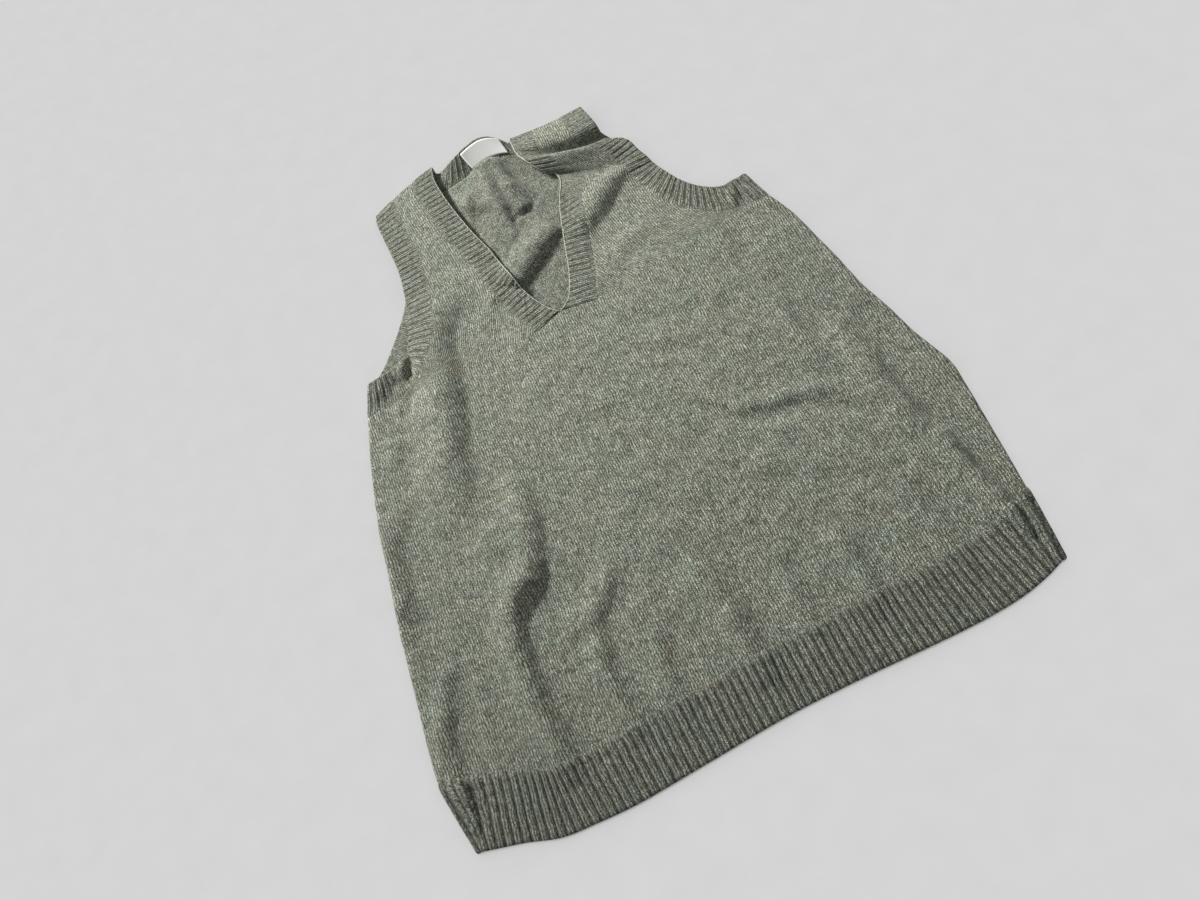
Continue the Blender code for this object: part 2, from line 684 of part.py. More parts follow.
def welt_line(edge, share):
    """A point on the welt's top or bottom line."""
    place = share * (len(WELT) - 1)
    if edge == "top":
        return through([(w.top_x, w.top_y) for w in WELT], place)
    return through([(w.bottom_x, w.bottom_y) for w in WELT], place)


def between(start, end, step):
    """Shares from 0 to 1 at about the given spacing."""
    count = max(1, round(math.dist(start, end) / step))
    return [i / count for i in range(count + 1)]


FOLD_ANGLES = (0.0, 0.55, 1.05, math.pi / 2)


def fold_columns(sign, y):
    """X of the last columns of a panel as it turns round a side fold, from flat outwards."""
    angles = FOLD_ANGLES[:-1] + (fold_gap_angle(sign, y),)
    return [at_fold(sign, y, angle) for angle in angles]


def body_row(left_y, right_y, middle, surface, step):
    """A row from fold to fold; middle is a list of (x, y) points that it passes through."""
    left = [(x, left_y) for x in reversed(fold_columns(-1, left_y))]
    right = [(x, right_y) for x in fold_columns(1, right_y)]
    line = [left[-1]] + middle + [right[0]]
    inner = []
    for start, end in zip(line, line[1:]):
        inner.extend(blend(start, end, share) for share in between(start, end, step)[1:])
    return [surface(x, y) for x, y in left + inner + right[1:]]


# ---------------------------------------------------------------- the pieces

def front_panel():
    """The front: body, then a strap on each side of the V."""
    net = Net()
    top = [(w.top_x, w.top_y + SEAM_GAP) for w in WELT]
    foot = [p for p in (through(top, i / 3) for i in range(3, 3 * len(top) - 5))]
    rows = [net.row(body_row(top[0][1], top[-1][1], foot, front, PANEL_STEP))]
    left_point, right_point = seam_shifted(NECK_LEFT[0]), seam_shifted(NECK_RIGHT[0])
    crown = ((NECK_LEFT[0].free_x + NECK_RIGHT[0].free_x) / 2, NECK_LEFT[0].free_y - SEAM_GAP - 0.6)
    first_y = 74.0
    levels = 22
    left_top, right_top = ARM_LEFT_FRONT[0].seam_y - SEAM_GAP, ARM_RIGHT_FRONT[0].seam_y - SEAM_GAP
    left_arm = [seam_shifted(s) for s in chest_stations(ARM_LEFT_FRONT, ARM_STEPS)]
    right_arm = [seam_shifted(s) for s in chest_stations(ARM_RIGHT_FRONT, ARM_STEPS)]
    left_neck = [seam_shifted(s) for s in chest_stations(NECK_LEFT, NECK_STEPS)]
    right_neck = [seam_shifted(s) for s in chest_stations(NECK_RIGHT, NECK_STEPS)]
    for level in range(levels):
        share = level / levels
        left_y = blend(first_y, left_top, share)
        right_y = blend(first_y, right_top, share)
        middle_y = blend(first_y - 8, left_point[1], share)
        line = [(left_arm[1][0], left_y + (left_arm[1][1] - left_top) * share),
                (left_point[0], middle_y), (right_point[0], middle_y),
                (right_arm[1][0], right_y + (right_arm[1][1] - right_top) * share)]
        rows.append(net.row(body_row(left_y, right_y, line, front, PANEL_STEP)))
    chevron = [left_arm[1], left_point, blend(left_point, crown, 0.5), crown,
               blend(right_point, crown, 0.5), right_point, right_arm[1]]
    rows.append(net.row(body_row(left_top, right_top, chevron, front, PANEL_STEP)))
    for lower, upper in zip(rows, rows[1:]):
        net.join(lower, upper)
    last = rows[-1]
    spot = [min(last, key=lambda v: math.dist(net.points[v][:2], corner))
            for corner in (left_arm[1], left_point, right_point, right_arm[1])]
    start, left_end, right_start, end = [last.index(v) for v in spot]
    strap_block(net, last[start:left_end + 1], STRAP_LEFT, left_arm[2:], left_neck[1:], 4)
    strap_block(net, last[right_start:end + 1], STRAP_RIGHT, right_neck[1:], right_arm[2:], 7)
    return wall_from_net("front_panel", net, WOOL)


def strap_block(net, row, sections, left_seam, right_seam, columns):
    """Carry a panel from the row below the V up one side of it and over the shoulder."""
    previous = row
    for start, end in list(zip(left_seam, right_seam))[:-1]:
        current = net.row([front(*blend(start, end, share))
                           for share in between(start, end, PANEL_STEP)])
        net.join(previous, current)
        previous = current
    rows = strap_rows(sections)
    for index, level in enumerate(rows):
        low, high = strap_body_span(sections, level)
        places = []
        for k in range(columns + 1):
            across = blend(low, high, k / columns)
            height = level
            if index == len(rows) - 1:
                height = shoulder_gap_row(sections, across)
            places.append(strap(sections, height, across))
        current = net.row(places)
        net.join(previous, current)
        previous = current


PLEAT_ROWS = (3.4, 8.9)     # the right strap's tight turns, which carry no raised ribs
SHOULDER_TURNS = (0.35, 0.7, 1.0)


def strap_rows(sections):
    """Rows of a strap's mesh: two to a section, then some round the shoulder."""
    last = len(sections) - 1
    return [i / 2 for i in range(2 * last + 1)] + [last + turned for turned in SHOULDER_TURNS]


def strap_body_span(sections, row):
    """Across values between which a strap belongs to the panel."""
    share = band_share(sections, row)
    in_pleat = sections is STRAP_RIGHT and 3.0 < row < 10.0
    gap = share * SEAM_GAP * (1.8 if in_pleat else 1.0) / BAND_WIDTH
    return share + gap, 1 - share - gap


def back_panel():
    """The back: flat on the table, with its pleats where the V shows them."""
    net = Net()
    top = [(w.top_x, w.top_y + SEAM_GAP) for w in WELT]
    foot = [through(top, i) for i in range(1, len(top) - 1)]
    rows = [net.row(body_row(top[0][1], top[-1][1], foot, back, 45.0))]
    left_top, right_top = ARM_LEFT_BACK[0].seam_y - SEAM_GAP, ARM_RIGHT_BACK[0].seam_y - SEAM_GAP
    left_arm = [seam_shifted(s) for s in arm_back_stations(ARM_LEFT_BACK, STRAP_LEFT, True)]
    right_arm = [seam_shifted(s) for s in arm_back_stations(ARM_RIGHT_BACK, STRAP_RIGHT, False)]
    for share in (0.1, 0.24, 0.38, 0.52, 0.66, 0.8, 0.92, 1.0):
        left_y, right_y = blend(58.0, left_top, share), blend(58.0, right_top, share)
        middle_y = blend(40.0, 392.0, share)
        line = [(left_arm[1][0], left_y + (left_arm[1][1] - left_top) * share),
                (-70.0, middle_y), (70.0, middle_y),
                (right_arm[1][0], right_y + (right_arm[1][1] - right_top) * share)]
        rows.append(net.row(body_row(left_y, right_y, line, back, 38.0)))
    for lower, upper in zip(rows, rows[1:]):
        net.join(lower, upper, True)
    last = rows[-1]
    ends = [min(last, key=lambda v: math.dist(net.points[v][:2], corner))
            for corner in (left_arm[1], right_arm[1])]
    previous = last[last.index(ends[0]):last.index(ends[1]) + 1]
    ends = list(zip(left_arm, right_arm))[2:-1]
    for level, (start, end) in enumerate(ends):
        middle_y = blend(402.0, 571.0, level / (len(ends) - 1))
        current = net.row(back_row(start, end, middle_y))
        net.join(previous, current, True)
        previous = current
    back_yoke(net, previous)
    return wall_from_net("back_panel", net, WOOL)


NECK_VIEW = (-64.0, 58.0)     # the stretch of the back that the V shows, and its point spacing
NECK_VIEW_STEP = 8.0
HIDDEN_STEP = 34.0


def back_row(start, end, middle_y):
    """A row of the back between the armholes, its points close together where the V shows."""
    left, right = (NECK_VIEW[0], middle_y), (NECK_VIEW[1], middle_y)
    line = [blend(start, left, share) for share in between(start, left, HIDDEN_STEP)]
    line += [blend(left, right, share) for share in between(left, right, NECK_VIEW_STEP)[1:]]
    line += [blend(right, end, share) for share in between(right, end, HIDDEN_STEP)[1:]]
    return [back(x, y) for x, y in line]


ARM_BACK_STEPS = 19


def arm_back_stations(rows, sections, left_side):
    """Stations of an armhole band behind, from the side fold to the foot of the shoulder roll."""
    last = len(sections) - 1
    share = band_share(sections, last)
    edge, seam = (0.0, share) if left_side else (1.0, 1 - share)
    free, sewn = strap_row(sections, last, edge), strap_row(sections, last, seam)
    table = list(rows) + [Band(free[0], free[1], sewn[0], sewn[1])]
    return [through(table, place) for place in spread(table, ARM_BACK_STEPS)]


NECK_TURN = {"left": 0.3, "right": 0.8}     # how far up the shoulder roll the free edge leaves it


def neck_rows():
    """The back neck's table with the shoulder rolls' ends added."""
    rows = []
    for sections, edge, sign, side in ((STRAP_LEFT, 1.0, -1, "left"), (STRAP_RIGHT, 0.0, 1, "right")):
        last = len(sections) - 1
        share = band_share(sections, last)
        free, _ = strap_behind(sections, NECK_TURN[side], edge)
        seam, _ = strap_behind(sections, 0.0, edge + sign * share)
        rows.append(free + seam)
    return [rows[0]] + [n.free + n.seam for n in BACK_NECK] + [rows[1]]


def back_neck(row, share):
    """Point and outward direction of the back neckband; share runs from free edge to seam."""
    table = neck_rows()

    def spot(at, part):
        values = through(table, at)
        return Vector(blend(values[:3], values[3:], part))

    point = spot(row, share)
    point.z = max(point.z, WALL / 2)
    last = len(table) - 1
    along = spot(min(row + 0.05, last), share) - spot(max(row - 0.05, 0), share)
    cross = spot(row, share + 0.05) - spot(row, share - 0.05)
    out = along.cross(cross).normalized()
    if out.z > 0:
        out = -out
    side, away = ("left", row) if row < last / 2 else ("right", last - row)
    flat = Vector((0, 0, -1)).lerp(out, (1 - share) * min(1.0, away / 3))
    angle = NECK_TURN[side] * (1 - share) * math.pi / 2
    rolled = Vector((0.0, math.sin(angle), -math.cos(angle)))
    return tuple(point), tuple(rolled.lerp(flat, min(1.0, away / 2)).normalized())


def back_yoke(net, row):
    """Close the back above its last straight row: shoulder, neck seam, shoulder."""
    left_span = strap_body_span(STRAP_LEFT, len(STRAP_LEFT) - 1)
    right_span = strap_body_span(STRAP_RIGHT, len(STRAP_RIGHT) - 1)
    left = [strap_behind(STRAP_LEFT, 0.0, blend(*left_span, k / 3)) for k in range(4)]
    right = [strap_behind(STRAP_RIGHT, 0.0, blend(*right_span, k / 3)) for k in range(4)]
    neck = []
    table = neck_rows()
    steps = 2 * (len(table) - 1)
    for k in range(1, steps):
        values = through(table, k / 2)
        reach = math.dist(values[:3], values[3:])
        x, y, z = blend(values[:3], values[3:], 1 + SEAM_GAP / reach)
        neck.append(((x, y, max(z, WALL / 2)), (0.0, 0.0, -1.0)))
    top = net.row(left + neck + right)
    net.join(row, top, True)
    for sections, span, base in ((STRAP_LEFT, left_span, top[:4]), (STRAP_RIGHT, right_span, top[-4:])):
        previous = base
        for turned in SHOULDER_TURNS:
            places = []
            for k in range(4):
                across = blend(*span, k / 3)
                gap = shoulder_gap_row(sections, across) - (len(sections) - 1)
                places.append(strap_behind(sections, min(turned, gap), across))
            current = net.row(places)
            net.join(previous, current, True)
            previous = current


def welt_shares():
    """Shares along the welt for its ribs, evenly spaced on the bottom line."""
    rows = [(w.bottom_x, w.bottom_y, w.bottom_x, w.bottom_y) for w in WELT]
    return [place / (len(WELT) - 1) for place in spread(rows, HEM_RIBS)]


def front_hem_rib():
    """The front welt: ribs from seam to free edge, its ends turned round the side folds."""
    shares = welt_shares()
    lines = []
    for rib in range(HEM_RIBS):
        for offset, lift in RIB_LINES:
            lines.append((blend(shares[rib], shares[rib + 1], offset), lift))
    lines = lines[1:]
    levels = (0.0, 0.35, 0.7, 1.0)
    columns = []
    for sign in (-1, 1):
        turn = []
        for angle_share in (1.0, 0.62, 0.3, 0.0):
            column = []
            for level in levels:
                y = blend(WELT[0].top_y, WELT[0].bottom_y, level)
                angle = fold_gap_angle(sign, y) * angle_share
                column.append((front(at_fold(sign, y, angle), y), 0.0))
            turn.append(column)
        columns.append(turn)
    middle = []
    for share, lift in lines:
        column = []
        top, bottom = welt_line("top", share), welt_line("bottom", share)
        for level in levels:
            x, y = blend(top, bottom, level)
            low, high = at_fold(-1, y, 0.0) + 1.2, at_fold(1, y, 0.0) - 1.2
            column.append((front(max(low, min(high, x)), y), lift))
        middle.append(column)
    all_columns = columns[0] + middle + columns[1][::-1]
    return welt_wall("front_hem_rib", all_columns, 6)


def welt_wall(name, columns, keep_every):
    """A welt's wall: ribs on its outer side, and an inside with only every few columns."""
    points = []
    outer = []
    for column in columns:
        row = []
        for level, ((point, direction), lift) in enumerate(column):
            fade = 0.6 if level == 0 else 1.0
            row.append(len(points))
            points.append(Vector(point) + Vector(direction) * (WALL / 2 + HEM_RIB_RISE * lift * fade))
        outer.append(row)
    kept = [i for i in range(len(columns)) if i % keep_every == 0 or i < 5 or i > len(columns) - 5]
    if kept[-1] != len(columns) - 1:
        kept.append(len(columns) - 1)
    inner = []
    for i in kept:
        row = []
        for (point, direction), _ in columns[i]:
            row.append(len(points))
            points.append(Vector(point) - Vector(direction) * WALL / 2)
        inner.append(row)
    faces = []
    for rows, flip in ((outer, False), (inner, True)):
        for before, after in zip(rows, rows[1:]):
            for k in range(len(before) - 1):
                split = ((before[k], before[k + 1], after[k + 1]), (before[k], after[k + 1], after[k]))
                faces.extend(face[::-1] if flip else face for face in split)
    for edge in (0, -1):
        faces.extend(zip_rows(points, [r[edge] for r in outer], [r[edge] for r in inner], edge == 0))
    for end in (0, -1):
        faces.extend(zip_rows(points, outer[end], inner[end], end == 0))
    return piece(name, points, faces, RIB_WOOL)


def back_hem_rib():
    """The back welt: plain, because its ribs face the table."""
    net = Net()
    inset = 1.5
    rows = []
    for level in (0.0, 0.5, 1.0):
        left_y = blend(WELT[0].top_y, WELT[0].bottom_y + inset, level)
        line = []
        for i in range(1, len(WELT) - 1):
            top = (WELT[i].top_x, WELT[i].top_y)
            bottom = (WELT[i].bottom_x, WELT[i].bottom_y + inset)
            line.append(blend(top, bottom, level))
        rows.append(net.row(body_row(left_y, left_y, line, back, 45.0)))
    for lower, upper in zip(rows, rows[1:]):
        net.join(lower, upper)
    return wall_from_net("back_hem_rib", net, RIB_WOOL)


def chest_segment(stations, layer):
    """A band's stretch on the chest or behind: place(at, share) with at from 0 to its length."""
    def place(at, share):
        index = min(int(at), len(stations) - 2)
        station = blend(stations[index], stations[index + 1], at - index)
        return layer(*blend(station[:2], station[2:], share))
    return place, len(stations) - 1


def strap_segment(sections, left_side_band):
    """A band's stretch up a strap, along its left or right edge."""
    def place(at, share):
        width = band_share(sections, at)
        across = share * width if left_side_band else 1 - share * width
        return strap(sections, at, across)
    return place, len(sections)


def behind_segment(sections, left_side_band, stop=0.0):
    """A band's stretch behind the shoulder, from the seam down; its free edge may stop early."""
    def place(at, share):
        width = band_share(sections, len(sections) - 1)
        across = share * width if left_side_band else 1 - share * width
        return strap_behind(sections, 1 - at * (1 - stop * (1 - share)), across)
    return place, 1


def turned_round(segment):
    """The same stretch, walked the other way."""
    place, length = segment
    return (lambda at, share: place(length - at, share)), length


def chain(segments):
    """One place function for stretches that follow each other, and where each one starts."""
    starts = [0]
    for _, length in segments:
        starts.append(starts[-1] + length)

    def place(station, share):
        index = 0
        while index < len(segments) - 1 and station >= starts[index + 1]:
            index += 1
        return segments[index][0](min(station - starts[index], segments[index][1]), share)
    return place, starts


def stepped(starts, steps):
    """Stations along a chain: each stretch cut into its own number of steps."""
    stations = []
    for start, end, count in zip(starts, starts[1:], steps):
        stations.extend(start + (end - start) * k / count for k in range(count))
    return stations + [starts[-1]]


def armhole_band(name, sign, front_rows, back_rows, sections):
    """A ring round an armhole: up the front, over the shoulder, down behind, round the fold."""
    left_side = sign < 0
    front_stations = chest_stations(front_rows, ARM_STEPS)
    free_y, seam_y = front_rows[0].free_y, front_rows[0].seam_y
    turn = []
    for angle in FOLD_ANGLES[::-1]:
        turn.append((at_fold(sign, free_y, angle), free_y, at_fold(sign, seam_y, angle), seam_y))
    back_stations = arm_back_stations(back_rows, sections, left_side)
    segments = [
        chest_segment(turn, front),
        chest_segment([turn[-1]] + front_stations[1:], front),
        strap_segment(sections, left_side),
        behind_segment(sections, left_side),
        chest_segment(back_stations[::-1][:-1] + [turn[-1]], back),
        chest_segment(turn[::-1], back),
    ]
    place, starts = chain(segments)
    last = len(sections) - 1
    strap_steps = [starts[2] + row for row in strap_rows(sections)]
    stations = stepped(starts[:3], (3, ARM_STEPS))[:-1] + strap_steps[:-1]
    stations += [starts[3] + 1 - turned for turned in SHOULDER_TURNS[::-1]]
    stations += stepped(starts[4:], (ARM_BACK_STEPS, 3))
    top = starts[2] + last

    def ribbed(station):
        row = station - starts[2]
        in_pleat = sections is STRAP_RIGHT and PLEAT_ROWS[0] < row < PLEAT_ROWS[1]
        return starts[1] < station < top and not in_pleat
    return ribbed_strip(name, place, stations, ribbed, BAND_RIB_RISE, BAND_RIB_PITCH, True, RIB_WOOL)


def neckband():
    """One strip from the V point up the left side, round the back neck and down the right."""
    neck_table = neck_rows()
    segments = [
        chest_segment(chest_stations(NECK_LEFT, NECK_STEPS), front),
        strap_segment(STRAP_LEFT, False),
        behind_segment(STRAP_LEFT, False, NECK_TURN["left"]),
        (back_neck, len(neck_table) - 1),
        turned_round(behind_segment(STRAP_RIGHT, True, NECK_TURN["right"])),
        turned_round(strap_segment(STRAP_RIGHT, True)),
        turned_round(chest_segment(chest_stations(NECK_RIGHT, NECK_STEPS), front)),
    ]
    place, starts = chain(segments)
    left_last, right_last = len(STRAP_LEFT) - 1, len(STRAP_RIGHT) - 1
    stations = [starts[0] + k for k in range(NECK_STEPS)]
    stations += [starts[1] + row for row in strap_rows(STRAP_LEFT)[:-1]]
    stations += [starts[2] + 1 - turned for turned in SHOULDER_TURNS[::-1]]
    stations += [starts[3] + k / 2 for k in range(2 * (len(neck_table) - 1))]
    stations += [starts[4] + turned for turned in (0.0,) + SHOULDER_TURNS[:-1]]
    stations += [starts[6] - row for row in strap_rows(STRAP_RIGHT)[::-1]][:-1]
    stations += [starts[6] + k for k in range(NECK_STEPS + 1)]

    def ribbed(station):
        up_left = station < starts[1] + left_last
        down_right = station > starts[6] - right_last
        in_pleat = PLEAT_ROWS[0] < starts[6] - station < PLEAT_ROWS[1]
        return up_left or (down_right and not in_pleat)
    return ribbed_strip("neckband", place, stations, ribbed, BAND_RIB_RISE, BAND_RIB_PITCH, False,
                        RIB_WOOL)


# The woven label lies on the inside of the back neckband
Corner = namedtuple("Corner", "row share")
LABEL_TOP_LEFT, LABEL_TOP_RIGHT = Corner(4.25, 0.10), Corner(7.85, 0.10)
LABEL_FOOT_LEFT, LABEL_FOOT_RIGHT = Corner(4.85, 0.95), Corner(7.7, 0.95)
LABEL_COLUMNS, LABEL_LEVELS = 8, 4


def neck_label():
    """The woven label: a thin wall that follows the neckband's inside."""
    net = Net()
    rows = []
    for level in range(LABEL_LEVELS + 1):
        places = []
        for column in range(LABEL_COLUMNS + 1):
            top = blend(LABEL_TOP_LEFT, LABEL_TOP_RIGHT, column / LABEL_COLUMNS)
            foot = blend(LABEL_FOOT_LEFT, LABEL_FOOT_RIGHT, column / LABEL_COLUMNS)
            row, share = blend(foot, top, level / LABEL_LEVELS)
            point, outward = back_neck(row, share)
            inward = -Vector(outward)
            lifted = Vector(point) + inward * (WALL / 2 + LABEL_GAP + LABEL_WALL / 2)
            places.append((lifted, inward))
        rows.append(net.row(places))
    for lower, upper in zip(rows, rows[1:]):
        net.join(lower, upper)
    return wall_from_net("neck_label", net, WOVEN, LABEL_WALL)


def clear_scene():
    for thing in list(bpy.data.objects):
        bpy.data.objects.remove(thing, do_unlink=True)


def main():
    clear_scene()
    front_panel()
    back_panel()
    front_hem_rib()
    back_hem_rib()
    neckband()
    armhole_band("left_armhole_band", -1, ARM_LEFT_FRONT, ARM_LEFT_BACK, STRAP_LEFT)
    armhole_band("right_armhole_band", 1, ARM_RIGHT_FRONT, ARM_RIGHT_BACK, STRAP_RIGHT)
    neck_label()


main()
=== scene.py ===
# %% [markdown]
# # A knitted sweater vest, laid flat
#
# The vest is a sleeveless V-neck knitted in a heathered grey-green wool. It lies on its back with
# its front up. The front and the back are plain knitting; the neckband, the armhole bands and the
# deep hem are knitted in ribs. The shoulder on the right was pushed towards the hem when the vest
# was put down, so it stands in a pleat.
#
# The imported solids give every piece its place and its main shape. This script dresses them: it
# lays a finer sheet of cloth on the form of each one, raises the ribs stitch by stitch, adds the
# small creases, and paints the wool with nodes.

import math
from collections import namedtuple

import bpy
import numpy as np
from mathutils import Matrix, Vector


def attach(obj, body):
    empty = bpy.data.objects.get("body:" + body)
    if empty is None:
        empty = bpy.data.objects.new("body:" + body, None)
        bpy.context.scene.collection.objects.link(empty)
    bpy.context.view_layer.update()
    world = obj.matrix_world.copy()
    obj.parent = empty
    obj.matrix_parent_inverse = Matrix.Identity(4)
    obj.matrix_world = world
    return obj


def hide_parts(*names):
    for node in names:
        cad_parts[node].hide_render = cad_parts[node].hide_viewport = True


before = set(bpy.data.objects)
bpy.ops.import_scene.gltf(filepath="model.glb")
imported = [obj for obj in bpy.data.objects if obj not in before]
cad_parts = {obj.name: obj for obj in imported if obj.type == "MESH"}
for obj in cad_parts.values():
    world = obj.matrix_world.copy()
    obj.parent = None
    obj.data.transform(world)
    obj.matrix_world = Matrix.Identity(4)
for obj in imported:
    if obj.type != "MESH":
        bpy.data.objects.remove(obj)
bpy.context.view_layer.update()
print("nodes:", ", ".join(sorted(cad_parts)))

# %% [markdown]
# ## Sizes
#
# Cloth is easier to think about in millimetres, so every table below is in millimetres, measured
# from the middle of the hem, with X across the vest, Y towards the neck and Z up from the table.
# One function turns such points into Blender's metres round the model's origin. The outline's
# tables are the same as those of the solids, which keeps the fine sheets on their form.

# %% Sizes of the cloth
WALL = 2.4                # thickness of the knitted cloth
LAYER_GAP = 0.35          # air between the back and the front where they touch
SEAM_GAP = 0.05           # between two sewn pieces
SEAM_PINCH = 0.85         # share of its thickness that the cloth keeps where it is sewn
BAND_WIDTH = 25.0         # neckband and armhole bands
LOFT = 1.7                # how far the front stands off the back away from its folds
HEM_LOFT = 0.5            # the same at the bottom edge
STRAP_JOIN = 490.0        # height on the chest where the shoulder straps begin
ORIGIN = (3.11, 298.92, 0.0)              # the model's origin, on the table
HEM_RIBS, HEM_RIB_RISE = 70, 1.25         # ribs across the front hem, and their height
BAND_RIB_PITCH, BAND_RIB_RISE = 6.2, 0.8
KNIT_WALE, KNIT_COURSE = 2.28, 1.65       # width and height of one stitch
QUARTER_TURN = math.pi / 2


def to_metres(points):
    """Table millimetres into the model's metres."""
    return (np.asarray(points, float) - ORIGIN) * 0.001


print(f"cloth {WALL} mm thick, bands {BAND_WIDTH} mm wide, {HEM_RIBS} ribs in the front hem")

# %% Tables of the outline
def rows_of(kind, rows):
    """Rows of plain numbers, with a name for each of them."""
    return [kind(*row) for row in rows]


Side = namedtuple("Side", "y left right")
SIDES = rows_of(Side, [
    (-12, -233.4, 234.6), (0, -235.7, 236.2), (44, -245.4, 242.4), (58, -248.3, 243.9),
    (93, -246.2, 247.4), (134, -242.7, 251.6), (170, -240, 254.8), (181, -238.6, 252.4),
    (210, -234.6, 244.4), (242, -230.3, 239.5), (268, -228.4, 233.2), (309, -221.4, 229),
    (341, -214.5, 224.4), (369, -207.4, 220.5), (395, -199.6, 211.8), (417, -190.5, 207.2),
    (428, -185, 205.6), (445, -176, 202),
])

# The hem: where it is sewn to the body (top) and its free edge (bottom)
Welt = namedtuple("Welt", "top_x top_y bottom_x bottom_y")
WELT = rows_of(Welt, [
    (-248.3, 58, -235.7, -0.5), (-219.6, 51.4, -224.5, -3.2), (-195, 44, -201.5, -8.7),
    (-172, 33.8, -175, -16.6), (-152, 30.6, -147, -18.6), (-115, 31.6, -110.5, -19.2),
    (-59, 34, -57, -15.8), (10, 37, 10.5, -11.6), (69, 38.6, 69.5, -11.2),
    (126, 40.6, 128.5, -12.6), (164, 41.2, 169, -12.6), (192, 42.8, 199.5, -10.2),
    (214.5, 48, 221, -5.6), (243.9, 58, 236.2, -0.5),
])

# Bands on the chest and behind: free edge and sewn edge
Band = namedtuple("Band", "free_x free_y seam_x seam_y")
NECK_LEFT = rows_of(Band, [
    (-2, 388.4, -30.5, 379), (-6.8, 393, -34, 388.5), (-12.2, 402, -37, 396.5),
    (-21.7, 424, -45.4, 418.5), (-28.4, 455, -53, 451), (-35, STRAP_JOIN, -60, STRAP_JOIN),
])
NECK_RIGHT = rows_of(Band, [
    (-1, 388.4, 33.5, 380), (6.2, 392.6, 35.5, 388.5), (12.8, 402, 38.5, 396),
    (21.9, 424, 45.8, 417), (31, 456, 55.3, 451), (41, STRAP_JOIN, 66, STRAP_JOIN),
])
ARM_LEFT_FRONT = rows_of(Band, [
    (-190.8, 414.6, -203, 383), (-180, 415, -187.5, 384.5), (-168, 416.6, -171, 387.3),
    (-157, 419.3, -153, 393), (-149, 422.5, -136.5, 402), (-145.5, 429, -124.5, 415),
    (-140, 440, -116, 430.5), (-135, 454, -110, 448), (-131.6, 471, -105.8, 468),
    (-128.5, STRAP_JOIN, -103.5, STRAP_JOIN),
])
ARM_RIGHT_FRONT = rows_of(Band, [
    (205.6, 427, 212.5, 393), (197, 426.6, 201, 394.5), (187, 425.4, 188, 396.5),
    (176, 429.6, 172.5, 401), (166, 438, 157, 410.5), (157.5, 448.5, 143.5, 424),
    (150.7, 461, 132, 441.5), (145.6, 475, 122.5, 464), (141.2, STRAP_JOIN, 116.2, STRAP_JOIN),
])
ARM_LEFT_BACK = rows_of(Band, [
    (-190.8, 414.6, -203, 383), (-183, 420.5, -183, 392), (-172, 430, -164, 402.5),
    (-160, 444, -146.5, 420), (-147.5, 459.4, -129, 440.5), (-132.5, 482.5, -110.5, 470.5),
    (-127.4, 500, -102.5, 497), (-126, 526, -101, 525), (-127, 564, -102, 563),
])
ARM_RIGHT_BACK = rows_of(Band, [
    (205.6, 427, 212.5, 393), (194, 426.2, 197, 396), (184, 426, 180, 399), (172, 431, 163.5, 406),
    (158.5, 444, 142.5, 423), (147.5, 462, 125.5, 448), (138, 490, 113.5, 484),
    (127, 526, 102.5, 520), (113.5, 560, 88, 558),
])
print(f"hem {WELT[-1].bottom_x - WELT[0].bottom_x:.0f} mm across, armholes from",
      f"{ARM_LEFT_FRONT[0].free_y:.0f} mm up")

# %% Tables of the shoulder straps and the back neck
Section = namedtuple("Section", "left middle right")
STRAP_LEFT = rows_of(Section, [
    ((-128.5, 490, 6.2), (-82, 490, 6.6), (-35, 490, 6.8)),
    ((-125.8, 512, 5.9), (-84, 512, 6.4), (-41, 512, 7)),
    ((-125.2, 536, 5.7), (-86, 536.5, 6.8), (-46.4, 537, 7.2)),
    ((-126.2, 558, 5.7), (-88.5, 560, 7.4), (-50.6, 561, 7.8)),
    ((-126.9, 577, 5.7), (-90, 583, 7.2), (-53.4, 584, 8.6)),
    ((-126.8, 587.5, 5.7), (-90.5, 597.5, 7.2), (-53.8, 600, 9.8)),
    ((-125.4, 593.8, 5.6), (-90, 606.6, 7), (-51.2, 611.2, 10.8)),
])
